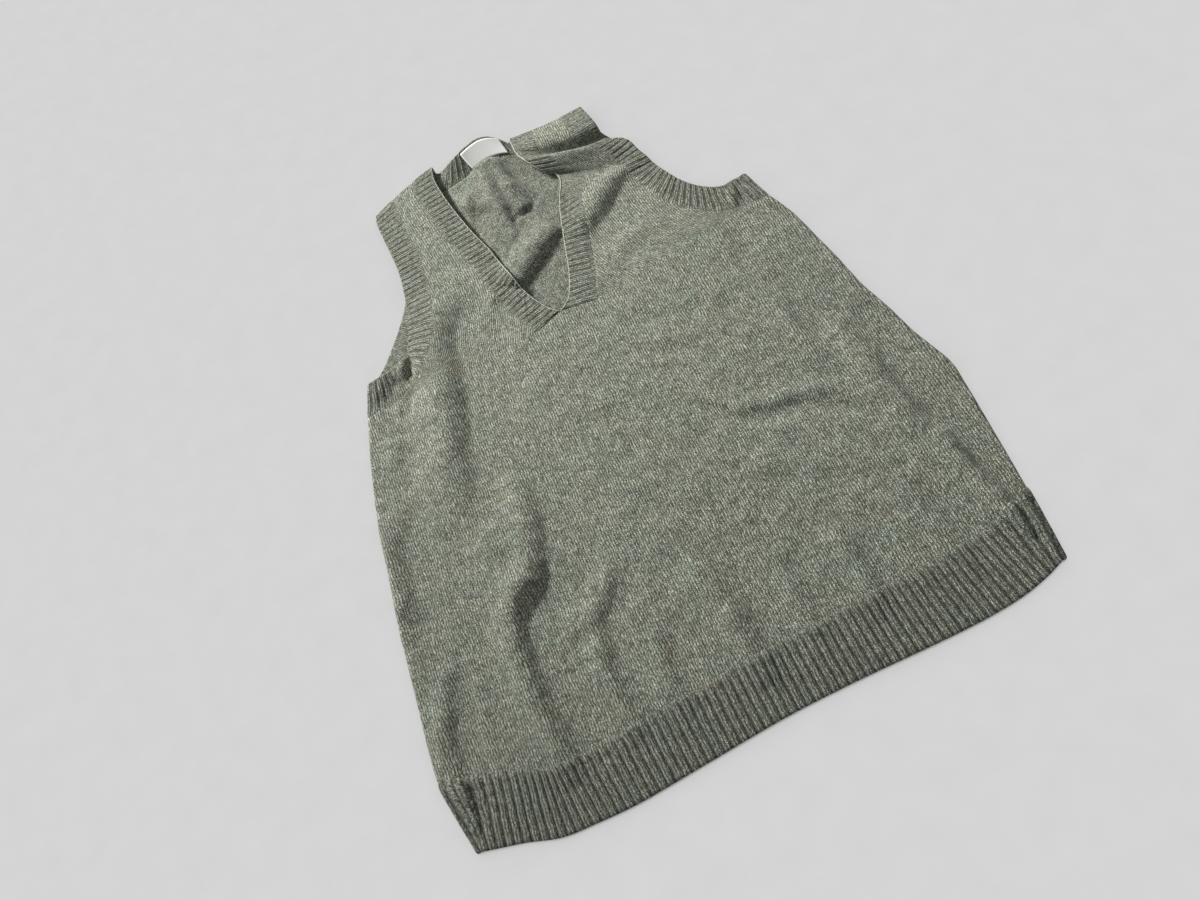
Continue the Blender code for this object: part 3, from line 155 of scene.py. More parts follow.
# The right strap is pushed down into a pleat that is deep at the neck and dies out at the arm
STRAP_RIGHT = rows_of(Section, [
    ((41, 490, 7.6), (93, 490, 7.6), (141.2, 490, 6.4)),
    ((46.2, 502, 8.4), (94, 498, 7), (139.6, 497, 6.6)),
    ((51.8, 514, 7), (95, 504.5, 5.2), (137.8, 503, 6.6)),
    ((55.4, 525, 5), (96, 507.8, 4.3), (136.2, 508.5, 6.6)),
    ((55, 533.6, 4.3), (96.6, 511.2, 4.6), (135, 513.5, 6.9)),
    ((52.4, 538.6, 5.3), (96.6, 514.4, 5.8), (134.2, 518, 7.5)),
    ((49, 540.8, 7.2), (95.8, 516.8, 6.9), (133.2, 521.6, 8.2)),
    ((45.6, 542.6, 8.8), (94.8, 520.4, 8.3), (131.6, 525.6, 8.8)),
    ((42.4, 545.4, 10.6), (93.2, 525.4, 10.2), (128.6, 529.6, 8.6)),
    ((39, 550.2, 12.6), (91.4, 530.4, 12.9), (124.6, 533.8, 7.4)),
    ((35.8, 556, 14.4), (89.6, 535.8, 15.2), (120.2, 537.8, 5.4)),
    ((33.4, 560.6, 14.6), (88.6, 539.6, 13.4), (117.6, 541, 4)),
    ((31.6, 565, 13.6), (87.8, 542.8, 7.8), (115.9, 544.2, 3.5)),
    ((30.5, 569.4, 12.4), (87.2, 545.8, 3.8), (114.9, 547.4, 3.4)),
    ((29.9, 573.8, 11.6), (86.6, 550, 3.6), (114.2, 550.8, 3.5)),
    ((29.6, 578, 11.2), (86, 553.2, 7.4), (113.5, 554, 7)),
    ((29.8, 582.6, 10.8), (85.5, 556.8, 13.2), (112.8, 557.4, 12.6)),
    ((30, 586.8, 10.5), (85, 565, 14.2), (111.8, 566, 13.4)),
    ((30.1, 591, 10.1), (84.5, 577, 12.2), (110.7, 578, 11.4)),
    ((30.2, 596, 9.6), (84, 589.5, 8.8), (109.6, 590.3, 8)),
])

# The back neck, from the left shoulder fold to the right one: it stands up in the middle
Neck = namedtuple("Neck", "free seam")
BACK_NECK = rows_of(Neck, [
    ((-46.8, 610.2, 2), (-71.5, 597.5, 1.2)),
    ((-41.2, 607.8, 6.4), (-62, 589.8, 1.2)),
    ((-32, 607.6, 11.8), (-46.5, 586.8, 1.4)),
    ((-22, 609.8, 14.6), (-29, 587.6, 2)),
    ((-10.5, 613, 15.6), (-13, 590, 3.4)),
    ((2, 614.6, 15.8), (2, 591.6, 4.6)),
    ((12.5, 612.4, 13.6), (16.5, 589.4, 4.2)),
    ((21, 607.4, 8.6), (28, 584.4, 2.8)),
    ((24.6, 602.6, 5.9), (36.8, 581.4, 1.8)),
    ((27.2, 600, 4.2), (47, 582.5, 1.2)),
])
print(len(STRAP_LEFT), "sections up the left strap,", len(STRAP_RIGHT), "up the pleated one")

# %% [markdown]
# ## Folds
#
# Cloth that lies on a table is never flat. A fold is a line along which one side stands high and
# the other drops: the wool rises to a crest on the left of the line and sinks into a trough on its
# right. The first two tables hold the folds that the solids have too: one long fold is two rows
# here, and a few are a little deeper or wider. The last two hold the smaller creases, which only
# the fine sheets carry. Drawing them as lines with a height and a width keeps them easy to move by
# hand; sculpting would give the same form, but it could not be read or changed in a table.

# %% Tables of the folds and creases
# A fold with a small fade keeps its height nearly to its ends
Fold = namedtuple("Fold", "drop width line fade", defaults=(0.75,))
BACK_FOLDS = rows_of(Fold, [
    (11, 13, [(-23, 429), (-10, 440), (6, 451), (22, 461), (36, 467)], 0.35),
    (5, 5.5, [(-2, 488), (-3, 528), (-3, 560), (-5, 592)]),
    (4.6, 6, [(4, 586), (4, 560), (6, 545), (15, 533), (20, 519)]),
    (12.6, 15, [(24, 516), (18, 542), (14, 568), (14, 600)], 0.5),
    (6.4, 12, [(-48, 552), (-26, 536), (-8, 514)]),
    (3, 9, [(-50, 590), (-45, 560), (-39, 525), (-34, 490), (-27, 450)], 0.4),
])
FRONT_FOLDS = rows_of(Fold, [
    (15.5, 20, [(-152, 232), (-136, 280), (-121, 330), (-110, 372), (-104, 410), (-94, 436),
         (-76, 456)], 0.6),
    (12.6, 12.6, [(-136, 14), (-141, 60), (-143, 90), (-143, 124), (-134, 151), (-113, 163),
         (-98, 178)], 0.5),
    (14.5, 18, [(-128, 150), (-108, 178), (-97, 206), (-93, 238), (-97, 282)], 0.6),
    (6, 8, [(-85, 16), (-88, 60), (-84, 104), (-72, 124), (-46, 146)]),
    (8.6, 9, [(-224, 14), (-226, 50), (-225, 80), (-218, 104), (-206, 136)], 0.5),
    (9.6, 11.5, [(25, 14), (21, 50), (16, 88), (6, 128)], 0.6),
    (4.6, 6, [(46, 264), (72, 238), (98, 213), (146, 200), (168, 186), (188, 158)]),
    (1.6, 9, [(60, 168), (104, 152), (150, 124), (180, 116)]),
    (3.6, 8, [(180, 216), (174, 260), (168, 306)]),
    (10, 8.4, [(236, 24), (229, 60), (224, 96), (225, 128)], 0.5),
    (9.6, 13, [(-224, 164), (-219, 210), (-216, 244), (-204, 284)]),
    (3.6, 7, [(-66, 402), (-58, 420), (-42, 438)]),
    (7, 4, [(-156, 402), (-151, 414), (-147, 438)], 0.4),
    (10.5, 13.5, [(44, 448), (62, 455), (82, 467), (100, 482), (118, 494), (140, 503)]),
])
FRONT_CREASES = rows_of(Fold, [
    (4.5, 8, [(-138, 24), (-143, 62), (-145, 100), (-143, 138)], 0.5),
    (5, 13, [(-140, 176), (-131, 214), (-130, 264)]),
    (2.4, 6, [(-124, 108), (-102, 112), (-82, 117)]),
    (1.6, 6, [(-60, 176), (-52, 200), (-50, 232)]),
    (4.6, 8, [(-47, 16), (-46, 62), (-40, 92)]),
    (1.8, 6, [(-196, 60), (-192, 96), (-186, 130)]),
    (5, 9, [(112, 14), (117, 70), (110, 102)]),
    (3.6, 8, [(63, 14), (64, 66), (58, 92)]),
    (4, 8, [(188, 14), (176, 74), (172, 100)]),
    (1.8, 7, [(10, 330), (40, 316), (78, 300), (104, 296)]),
    (1.6, 7, [(96, 340), (122, 322), (150, 316)]),
    (1.4, 6, [(-30, 290), (-6, 276), (20, 270)]),
    (2.6, 8, [(-190, 316), (-184, 340), (-178, 362)]),
    (3.6, 9, [(168, 346), (163, 376), (160, 400), (150, 424)]),
    (9, 12, [(222, 84), (214, 140), (209, 196), (206, 252)]),
    (1.1, 6, [(60, 402), (84, 416), (112, 424)]),
    (1.6, 5, [(-96, 338), (-84, 362), (-66, 380)]),
    (9, 13, [(-196, 392), (-176, 402), (-152, 412)], 0.5),
    (4.4, 5, [(-174, 362), (-168, 378), (-160, 394)]),
    (3.4, 4, [(182, 392), (188, 408), (197, 430)]),
    (2.6, 3.5, [(208, 398), (202, 407), (194, 420)]),
])
BACK_CREASES = rows_of(Fold, [
    (1.6, 4, [(-26, 470), (-16, 486), (-2, 492), (14, 488)]),
    (0.8, 4, [(-44, 520), (-34, 540), (-26, 566)]),
])
print(len(FRONT_FOLDS), "folds and", len(FRONT_CREASES), "creases on the front")

# %% [markdown]
# ## Smooth curves, and the height of the cloth
#
# The tables hold only a few rows, so a smooth curve is passed through them. The height of the
# back and of the front is then a sum: the table, the cloth's own thickness, a little air, and
# whatever the folds add. All of it works on whole arrays of points at once, because the sheets
# have tens of thousands of them.

# %% Curves through table rows
FINE_PARTS = 24           # places between two rows when a curve's length is measured
CORNER = 6.0              # how far each way a corner of the side's outline is rounded


def matched(*values):
    """The values as arrays of floats, all of one shape."""
    return np.broadcast_arrays(*(np.asarray(v, float) for v in values))


def through(rows, places):
    """Points on the smooth curve through the rows; place 0 is the first row and 1 the next."""
    rows = np.asarray(rows, float)
    places = np.atleast_1d(np.asarray(places, float))
    last = len(rows) - 1
    padded = np.vstack([2 * rows[0] - rows[1], rows, 2 * rows[-1] - rows[-2]])
    index = np.clip(np.floor(places).astype(int), 0, last - 1)
    s = (places - index)[:, None]
    t = 1 - s
    before, start, end, after = (padded[index + k] for k in range(4))
    return (start * (1 + 2 * s) * t * t + (end - before) / 2 * s * t * t
            + end * s * s * (3 - 2 * s) - (after - start) / 2 * s * s * t)


def lengths_along(points):
    """Distance from the first point to each point of a line."""
    steps = np.linalg.norm(np.diff(points, axis=0), axis=1)
    return np.concatenate([[0.0], np.cumsum(steps)])


def spread(rows, count):
    """Count + 1 places along the rows' curve, evenly spaced by length on its middle line."""
    rows = np.asarray(rows, float)
    fine = np.linspace(0, len(rows) - 1, FINE_PARTS * (len(rows) - 1) + 1)
    points = through(rows, fine)
    half = points.shape[1] // 2
    travelled = lengths_along((points[:, :half] + points[:, half:]) / 2)
    return np.interp(np.linspace(0, travelled[-1], count + 1), travelled, fine)


def side_fold(y, column):
    """X of the side fold at height y: straight runs between rows, their corners rounded."""
    rows_y = [s.y for s in SIDES]
    rows_x = [getattr(s, column) for s in SIDES]
    nudges = (-CORNER, 0.0, CORNER)
    return sum(np.interp(np.asarray(y) + nudge, rows_y, rows_x) for nudge in nudges) / 3


underarm = ARM_LEFT_FRONT[0].seam_y
width = float(side_fold(underarm, "right") - side_fold(underarm, "left"))
print("width at the underarms:", round(width), "mm")

# %% Height that one fold adds
FOLD_PARTS = 6            # straight parts between two points of a fold's line
FOLD_REACH = 5            # in widths: further off, a fold adds nothing


def fold_height(fold, x, y):
    """A crest on the left of the fold's line and a trough on its right."""
    path = through(fold.line, np.arange(FOLD_PARTS * (len(fold.line) - 1) + 1) / FOLD_PARTS)
    reach = FOLD_REACH * fold.width
    low, high = path.min(0) - reach, path.max(0) + reach
    near = (x > low[0]) & (x < high[0]) & (y > low[1]) & (y < high[1])
    result = np.zeros(x.shape)
    xs, ys = x[near], y[near]
    best, side, along = np.full(xs.shape, np.inf), np.zeros(xs.shape), np.zeros(xs.shape)
    pieces = len(path) - 1
    for i in range(pieces):
        (ax, ay), (dx, dy) = path[i], path[i + 1] - path[i]
        length = math.hypot(dx, dy)
        share = np.clip(((xs - ax) * dx + (ys - ay) * dy) / length ** 2, 0, 1)
        away = np.hypot(xs - ax - dx * share, ys - ay - dy * share)
        closer = away < best
        right = ((xs - ax) * dy - (ys - ay) * dx) / length
        best = np.where(closer, away, best)
        side = np.where(closer, np.copysign(away, right), side)
        along = np.where(closer, (i + share) / pieces, along)
    taper = np.minimum(1.0, 4.0 * along * (1 - along)) ** fold.fade
    u = side / fold.width
    height = -0.5 * fold.drop * u * np.exp((1 - u * u) / 2) * taper
    result[near] = np.where(best > reach, 0.0, height)
    return result


across_x = np.linspace(-160, -60, 101)
profile = fold_height(FRONT_FOLDS[0], across_x, np.full(across_x.shape, 372.0))
print(f"long fold of the chest: {profile.max():.1f} mm up, {-profile.min():.1f} mm down")

# %% Height of the back and of the front
def soft_floor(value, softness):
    """The value where it is well above 0, easing to 0 below."""
    return softness * np.logaddexp(0.0, value / softness)


BACK_FOLD_LOFT = 3.2      # how far the back stands off the table beside its folds
BACK_LOFT_FROM = 1.5      # height of the folds that gives most of that
BACK_UNEVEN, FRONT_UNEVEN = 0.35, 0.32    # height of the slow waves
BACK_SOFT, FRONT_SOFT = 0.5, 0.6          # how softly the troughs run out
BACK_AT_REST = 0.35       # what the softness adds to flat cloth, taken off again
V_MIDDLE_Y, V_REACH = 500.0, (60.0, 95.0)     # where the V shows the back
NECK_LIFT_REACH = 16.0    # how far below the neck seam its lift dies out
NECK_LIFT_SIDES = (-62.0, 44.0)
HEM_FOOT, HEM_RISE_REACH = -20.0, 120.0       # where the front's loft begins, and how far it grows


def neck_seam_lift(x, y):
    """Height of the back's neck seam above the table, dying out below the seam."""
    seam = np.array([n.seam for n in BACK_NECK])
    seam_y = np.interp(x, seam[:, 0], seam[:, 1])
    seam_z = np.interp(x, seam[:, 0], seam[:, 2])
    lift = (seam_z - WALL / 2) * np.exp(-np.maximum(0.0, seam_y - y) / NECK_LIFT_REACH)
    inside = (x > NECK_LIFT_SIDES[0]) & (x < NECK_LIFT_SIDES[1])
    return np.where(inside, np.maximum(lift, 0.0), 0.0)


def ripple(x, y, waves, seed):
    """A slow unevenness: many long waves that cross each other, from -1 to 1 or so."""
    random = np.random.default_rng(seed)
    total = np.zeros(np.shape(x))
    for _ in range(waves):
        turn, length = random.uniform(0, math.tau), random.uniform(16.0, 60.0)
        shift = random.uniform(0, math.tau)
        total += np.sin((x * math.cos(turn) + y * math.sin(turn)) * math.tau / length + shift)
    return total / math.sqrt(waves / 2)


def back_height(x, y):
    """Height of the middle of the back's wall above the table."""
    x, y = matched(x, y)
    folds = [fold_height(fold, x, y) for fold in BACK_FOLDS]
    loft = BACK_FOLD_LOFT * (1 - np.exp(-sum(np.abs(f) for f in folds) / BACK_LOFT_FROM))
    creases = sum(fold_height(fold, x, y) for fold in BACK_CREASES)
    shown = np.exp(-(x / V_REACH[0]) ** 4 - ((y - V_MIDDLE_Y) / V_REACH[1]) ** 4)
    uneven = BACK_UNEVEN * (1 + ripple(x, y, waves=14, seed=5)) * shown
    raised = soft_floor(loft + sum(folds) + creases + uneven, BACK_SOFT) - BACK_AT_REST
    return WALL / 2 + np.maximum(0.0, raised) + neck_seam_lift(x, y)


def front_height(x, y):
    """Height of the middle of the front's wall: on the back, and lifted by its own folds."""
    x, y = matched(x, y)
    rise = np.clip((y - HEM_FOOT) / HEM_RISE_REACH, 0, 1)
    loft = HEM_LOFT + (LOFT - HEM_LOFT) * rise * rise * (3 - 2 * rise)
    relief = sum(fold_height(fold, x, y) for fold in FRONT_FOLDS + FRONT_CREASES)
    held_by_hem = np.clip((y - 10.0) / 60.0, 0.25, 1)     # the waves are lower near the hem
    uneven = FRONT_UNEVEN * ripple(x, y, waves=22, seed=11) * held_by_hem
    return back_height(x, y) + WALL + LAYER_GAP + soft_floor(loft + relief + uneven, FRONT_SOFT)


print(f"front at the middle of the chest: {float(front_height(0.0, 300.0)):.1f} mm up")

# %% [markdown]
# ## The two layers roll into each other
#
# At the sides the vest has no seam that shows: the cloth turns round a soft roll from the front to
# the back. A point near the side fold is therefore carried round half a circle, whose radius is
# half the distance between the layers.

# %% Front and back layers, rolled at the sides
ROLL_REACH = 12.0         # nearer to a side fold than this, a point may be on the roll


def layer(x, y, is_front):
    """Points of the front or the back at (x, y), turned round the roll near a side fold."""
    x, y = matched(x, y)
    points = np.stack([x, y, front_height(x, y) if is_front else back_height(x, y)], -1)
    for sign, column in ((-1, "left"), (1, "right")):
        edge = side_fold(y, column)
        inside = (edge - x) * sign
        close = (inside < ROLL_REACH) & (y <= SIDES[-1].y)
        if not close.any():
            continue
        edge, inside, at_y = edge[close], inside[close], y[close]
        flat_x = edge - sign * np.maximum(inside, 0.0)
        top, low = front_height(flat_x, at_y), back_height(flat_x, at_y)
        radius = (top - low) / 2
        angle = np.maximum(0.0, (radius - inside) / radius)
        drop = radius * (1 - np.cos(angle))
        rolled = points[close]
        turned = angle > 0
        rolled[turned, 0] = (edge - sign * radius * (1 - np.sin(angle)))[turned]
        rolled[turned, 2] = (top - drop if is_front else low + drop)[turned]
        points[close] = rolled
    return points


def roll_at(sign, y):
    """X of a side fold at height y, and the radius of the cloth's roll round it."""
    edge = side_fold(y, "left" if sign < 0 else "right")
    return edge, (front_height(edge, y) - back_height(edge, y)) / 2


def at_fold(sign, y, turned):
    """X on the cloth at which it has turned by an angle round a side fold."""
    edge, radius = roll_at(sign, y)
    return edge - sign * radius * (1 - turned)


def seam_angle(sign, y):
    """The angle at which a panel ends, half a seam gap short of the side seam."""
    return QUARTER_TURN - SEAM_GAP / 2 / roll_at(sign, y)[1]


print(f"roll of the left side at the underarm: {2 * float(roll_at(-1, underarm)[1]):.1f} mm high")

# %% [markdown]
# ## Shoulder straps
#
# A strap is described by sections across it, from the chest up to the shoulder. Between sections
# a smooth curve is used, and at the top the strap rolls over a quarter turn to meet the back. The
# pleated strap has many more sections, close together where the cloth stands up.

# %% Points on the straps
def strap_parts(sections, row):
    """The strap's left edge, its middle and its right edge at each row."""
    return [through([getattr(s, side) for s in sections], row) for side in Section._fields]


def strap_row(sections, row, across):
    """Points on a strap; across runs by length from 0 at its left edge to 1 at its right."""
    row, across = matched(row, across)
    left, middle, right = strap_parts(sections, row.ravel())
    half = np.linalg.norm(left - middle, axis=1, keepdims=True)
    centre = half / (half + np.linalg.norm(middle - right, axis=1, keepdims=True))
    a = across.reshape(-1, 1)
    bent = (left * (a - centre) * (a - 1) / centre + middle * a * (a - 1) / (centre * (centre - 1))
            + right * a * (a - centre) / (1 - centre))
    straight = np.where(a < centre, left + (middle - left) * a / centre,
                        middle + (right - middle) * (a - centre) / (1 - centre))
    return (0.5 * bent + 0.5 * straight).reshape(row.shape + (3,))


EASED_ROWS = 2            # rows over which a strap's foot takes the chest's height


def strap(sections, row, across):
    """The same, eased into the chest at its foot and rolled over at the shoulder."""
    row, across = matched(row, across)
    last = len(sections) - 1
    points = strap_row(sections, np.clip(row, 0, last), across)
    x, y, z = points[..., 0], points[..., 1], points[..., 2]
    ease = np.clip(row / EASED_ROWS, 0, 1)
    ease = ease ** 2 * (3 - 2 * ease)
    z = np.where(row < EASED_ROWS, front_height(x, y) * (1 - ease) + z * ease, z)
    over = row > last
    radius = (z - WALL / 2) / 2
    angle = (row - last) * QUARTER_TURN
    y = np.where(over, y + radius * np.sin(angle), y)
    z = np.where(over, z - radius * (1 - np.cos(angle)), z)
    return np.stack([x, y, z], -1)


def strap_behind(sections, turned, across):
    """The back of a shoulder: from flat on the table (0) up to the shoulder seam (1)."""
    turned, across = matched(turned, across)
    points = strap_row(sections, len(sections) - 1, across)
    radius = (points[..., 2] - WALL / 2) / 2
    angle = turned * QUARTER_TURN
    return np.stack([points[..., 0], points[..., 1] + radius * np.sin(angle),
                     WALL / 2 + radius * (1 - np.cos(angle))], -1)


for name, sections in (("left", STRAP_LEFT), ("right", STRAP_RIGHT)):
    rows = np.linspace(0, len(sections) - 1, 60)
    print(name, "strap:", round(lengths_along(strap(sections, rows, 0.5))[-1]), "mm up its middle")

# %% Where the bands lie on the straps
def band_share(sections, row):
    """How much of a strap's width a band takes up."""
    row = np.minimum(np.atleast_1d(np.asarray(row, float)), len(sections) - 1)
    left, middle, right = strap_parts(sections, row)
    width = np.linalg.norm(left - middle, axis=1) + np.linalg.norm(middle - right, axis=1)
    return BAND_WIDTH / width


def shoulder_gap_row(sections, across):
    """Row at which the front ends, half a seam gap short of the shoulder seam."""
    radius = (strap_row(sections, len(sections) - 1, across)[..., 2] - WALL / 2) / 2
    return len(sections) - SEAM_GAP / 2 / radius / QUARTER_TURN


def strap_body_span(sections, row):
    """Across values between which a strap belongs to the panel."""
    share = band_share(sections, row)
    gap = share * SEAM_GAP / BAND_WIDTH
    return share + gap, 1 - share - gap


print("the bands take", round(200 * band_share(STRAP_LEFT, len(STRAP_LEFT) - 1)[0]),
      "% of the left shoulder's width")

# %% Stations of the bands, and the back neck
NECK_STEPS, ARM_STEPS, ARM_BACK_STEPS = 10, 11, 19
# How far up the shoulder's roll behind, in shares of a quarter turn, the neckband leaves it
NECK_TURN = {"left": 0.3, "right": 0.8}


def stations_of(rows, steps):
    """Stations of a band, evenly spaced from the table's first row to its last."""
    return through(rows, spread(rows, steps))


def seam_shifted(stations):
    """The panel's points beside a band's seam: one gap further from the free edge."""
    free, seam = stations[:, :2], stations[:, 2:]
    reach = np.linalg.norm(seam - free, axis=1, keepdims=True)
    return free + (seam - free) * (1 + SEAM_GAP / reach)


def arm_back_stations(rows, sections, left_side):
    """Stations of an armhole band behind, from the side fold to the foot of the shoulder roll."""
    last = len(sections) - 1
    share = band_share(sections, last)[0]
    edge, seam = (0.0, share) if left_side else (1.0, 1 - share)
    free, sewn = strap_row(sections, last, edge), strap_row(sections, last, seam)
    return stations_of(rows + [Band(free[0], free[1], sewn[0], sewn[1])], ARM_BACK_STEPS)


def neck_rows():
    """The back neck's table with the shoulder rolls' ends added."""
    rows = []
    for sections, edge, sign, side in ((STRAP_LEFT, 1.0, -1, "left"),
                                       (STRAP_RIGHT, 0.0, 1, "right")):
        share = band_share(sections, len(sections) - 1)[0]
        free = strap_behind(sections, NECK_TURN[side], edge)
        seam = strap_behind(sections, 0.0, edge + sign * share)
        rows.append(tuple(free) + tuple(seam))
    return np.array([rows[0]] + [n.free + n.seam for n in BACK_NECK] + [rows[1]])


def back_neck(row, share):
    """Points of the back neckband; share runs from its free edge to its seam."""
    row, share = matched(row, share)
    values = through(neck_rows(), row.ravel())
    points = values[:, :3] + (values[:, 3:] - values[:, :3]) * share.reshape(-1, 1)
    points[:, 2] = np.maximum(points[:, 2], WALL / 2)
    return points.reshape(row.shape + (3,))


free_edge = back_neck(np.linspace(0, len(BACK_NECK) + 1, 60), 0.0)
print("back neck:", round(lengths_along(free_edge)[-1]), "mm round")

# %% [markdown]
# ## From points to a wall of cloth
#
# A sheet of knitting is two skins a couple of millimetres apart. Each piece below is laid out as
# one or more grids of points on the middle of its wall. The outer skin is pushed out from there,
# higher where a rib stands, and the inner skin is pushed in; a rim closes them along the edges.
# Blender's Solidify modifier could thicken a grid too, but it can't raise ribs on one side only or
# let a wall grow thin towards a soft rounded edge. The mesh also gets a map that follows the
# knitting in millimetres, so that the stitches in the material run with the cloth.

# %% Helpers for meshes
WELD_DIGITS = 3           # points closer than a thousandth of a millimetre are one point


def unit(vectors):
    """The vectors made one long."""
    return vectors / np.maximum(np.linalg.norm(vectors, axis=-1, keepdims=True), 1e-9)


def at_lengths(goals, travelled, line):
    """Points of a line at the lengths asked for."""
    return np.stack([np.interp(goals, travelled, line[:, axis]) for axis in range(3)], 1)


def put_in_scene(name, data):
    """A new object that shows this mesh, lamp or camera."""
    thing = bpy.data.objects.new(name, data)
    bpy.context.scene.collection.objects.link(thing)
    return thing


def mesh_area(points, quads):
    """Area of the quads, in the points' own unit squared."""
    p = points[quads]
    across = np.cross(p[:, 2] - p[:, 0], p[:, 3] - p[:, 1])
    return 0.5 * np.linalg.norm(across, axis=1).sum()


# %% A sheet built from grids of points
class Sheet:
    """Grids of points that share their edges, made into one closed wall."""

    def __init__(self, name):
        self.name = name
        self.grids = []

    def add(self, points, outward, flat, thickness=1.0, lift=0.0, inner_lift=0.0,
            rib=(1.0, 1.0)):
        """One grid: points, the way out, the map in millimetres, and in rib the painted shade of
        each rib's hollow, for the outer and the inner skin, where 1 is unshaded.
        """
        shape = points.shape[:2]
        down, right = np.gradient(points, axis=0), np.gradient(points, axis=1)
        normals = unit(np.cross(right, down))
        way = np.broadcast_to(np.asarray(outward, float), normals.shape)
        flip = (normals * way).sum() < 0
        full = [np.broadcast_to(np.asarray(a, float), shape)
                for a in (thickness, lift, inner_lift, *rib)]
        self.grids.append((points, -normals if flip else normals, flip, np.asarray(flat), *full))

    def build(self, wall=WALL):
        """The closed mesh object with its map and its rib attribute, which holds the painted shade
        of its ribs, and its area.
        """
        joined = [np.concatenate([g[k].reshape(-1, *g[k].shape[2:]) for g in self.grids])
                  for k in (0, 1, 3, 4, 5, 6, 7, 8)]
        middles, normals, flat, thickness, lift, inner_lift, rib_shade_out, rib_shade_in = joined
        _, first, same = np.unique(np.round(middles, WELD_DIGITS), axis=0, return_index=True,
                                   return_inverse=True)
        same = same.reshape(-1)
        count = len(first)
        summed = np.zeros((count, 3))
        np.add.at(summed, same, normals)
        summed = unit(summed)
        half = (thickness[first] * wall / 2)[:, None]
        outer = middles[first] + summed * (half + lift[first][:, None])
        inner = middles[first] - summed * (half + inner_lift[first][:, None])
        quads, start = [], 0
        for points, _, flip, *_ in self.grids:
            rows, columns = points.shape[:2]
            ids = np.arange(start, start + rows * columns).reshape(rows, columns)
            start += rows * columns
            corners = (ids[:-1, :-1], ids[:-1, 1:], ids[1:, 1:], ids[1:, :-1])
            block = np.stack([c.reshape(-1) for c in corners], 1)
            quads.append(block[:, ::-1] if flip else block)
        quads = np.concatenate(quads)
        welded = same[quads]
        whole = np.array([len(set(q)) == 4 for q in welded.tolist()])
        quads, welded = quads[whole], welded[whole]
        starts, ends = welded.reshape(-1), np.roll(welded, -1, axis=1).reshape(-1)
        loose_from, loose_to = quads.reshape(-1), np.roll(quads, -1, axis=1).reshape(-1)
        free = ~np.isin(starts * count + ends, ends * count + starts)
        a, b = starts[free], ends[free]
        rim = np.stack([b, a, a + count, b + count], 1)
        rim_map = np.stack([loose_to[free], loose_from[free], loose_from[free], loose_to[free]], 1)
        faces = np.concatenate([welded, welded[:, ::-1] + count, rim])
        corners = np.concatenate([quads, quads[:, ::-1], rim_map])
        mesh = bpy.data.meshes.new(self.name)
        mesh.from_pydata(to_metres(np.concatenate([outer, inner])).tolist(), [], faces.tolist())
        layer_map = mesh.uv_layers.new(name="cloth")
        layer_map.data.foreach_set("uv", flat[corners.reshape(-1)].astype(np.float32).reshape(-1))
        # The rib attribute carries the painted shade of the ribs' hollows to the material; 1 is
        # unshaded
        raised = np.concatenate([rib_shade_out[first], rib_shade_in[first]])
        rib = mesh.attributes.new("rib", "FLOAT", "POINT")
        rib.data.foreach_set("value", raised.astype(np.float32))
        mesh.shade_smooth()
        # An edge stays sharp where the wall is thick and sewn; a free edge is rounded instead
        sewn = thickness[first] >= SEAM_PINCH - 0.01
        both = sewn[a] & sewn[b]
        keep_sharp = set(zip(a[both].tolist(), b[both].tolist()))
        ends = np.empty(len(mesh.edges) * 2, int)
        mesh.edges.foreach_get("vertices", ends)
        ends = ends.reshape(-1, 2)
        sharp = [(p < count) == (q < count)
                 and ((p % count, q % count) in keep_sharp or (q % count, p % count) in keep_sharp)
                 for p, q in ends.tolist()]
        mesh.attributes.new("sharp_edge", "BOOLEAN", "EDGE").data.foreach_set("value", sharp)
        area = mesh_area(outer, welded)
        print(f"{self.name}: {2 * len(faces)} triangles, {area * 1e-6:.3f} m2 of cloth")
        return put_in_scene(self.name, mesh), area


def along_line(corners, step):
    """Points along a line of corners at about the given spacing, its corners kept."""
    points = [np.asarray(corners[0], float)]
    for start, end in zip(corners, corners[1:]):
        start, end = np.asarray(start, float), np.asarray(end, float)
        count = max(1, round(np.linalg.norm(end - start) / step))
        points += [start + (end - start) * k / count for k in range(1, count + 1)]
    return np.array(points)


# %% [markdown]
# ## The front
#
# The front is knitted in one piece from the hem up and divides at the foot of the V. Here it is
# three grids: the body, from the hem's seam to the underarms and the foot of the V, and a strap on
# each side, which carries on from the body's last row, over the shoulder.

# %% The outline of a body, from the hem's seam to the underarms
FRONT_STEP = 2.3          # between points of the front
BODY_ROWS = {"front": 145, "back": 40}
FOLD_TURNS = np.array([1.0, 0.8, 0.6, 0.4, 0.2, 0.0])     # from the side seam to flat, in shares
SHOULDER_TURNS = np.linspace(0, 1, 7)[1:, None]           # from the strap's top to its seam
FOOT_Y = WELT[0].top_y + SEAM_GAP                         # of the side seams

arm_left = stations_of(ARM_LEFT_FRONT, ARM_STEPS)
arm_right = stations_of(ARM_RIGHT_FRONT, ARM_STEPS)
neck_left = stations_of(NECK_LEFT, NECK_STEPS)
neck_right = stations_of(NECK_RIGHT, NECK_STEPS)


def fold_columns(sign, y, turns=FOLD_TURNS):
    """X of a panel's last columns as it turns round a side fold, from the seam to flat."""
    limit = seam_angle(sign, y)
    return np.stack([at_fold(sign, y, limit * turn) for turn in turns], 1)


def flat_limits(y):
    """X at which the cloth leaves the left and the right roll, at each height."""
    return at_fold(-1, y, 0.0), at_fold(1, y, 0.0)


# Height at which a body ends at each side, and its points there
side_tops = [band[0].seam_y - SEAM_GAP for band in (ARM_LEFT_FRONT, ARM_RIGHT_FRONT)]
side_ends = [(at_fold(sign, top, 0.0), top) for sign, top in zip((-1, 1), side_tops)]


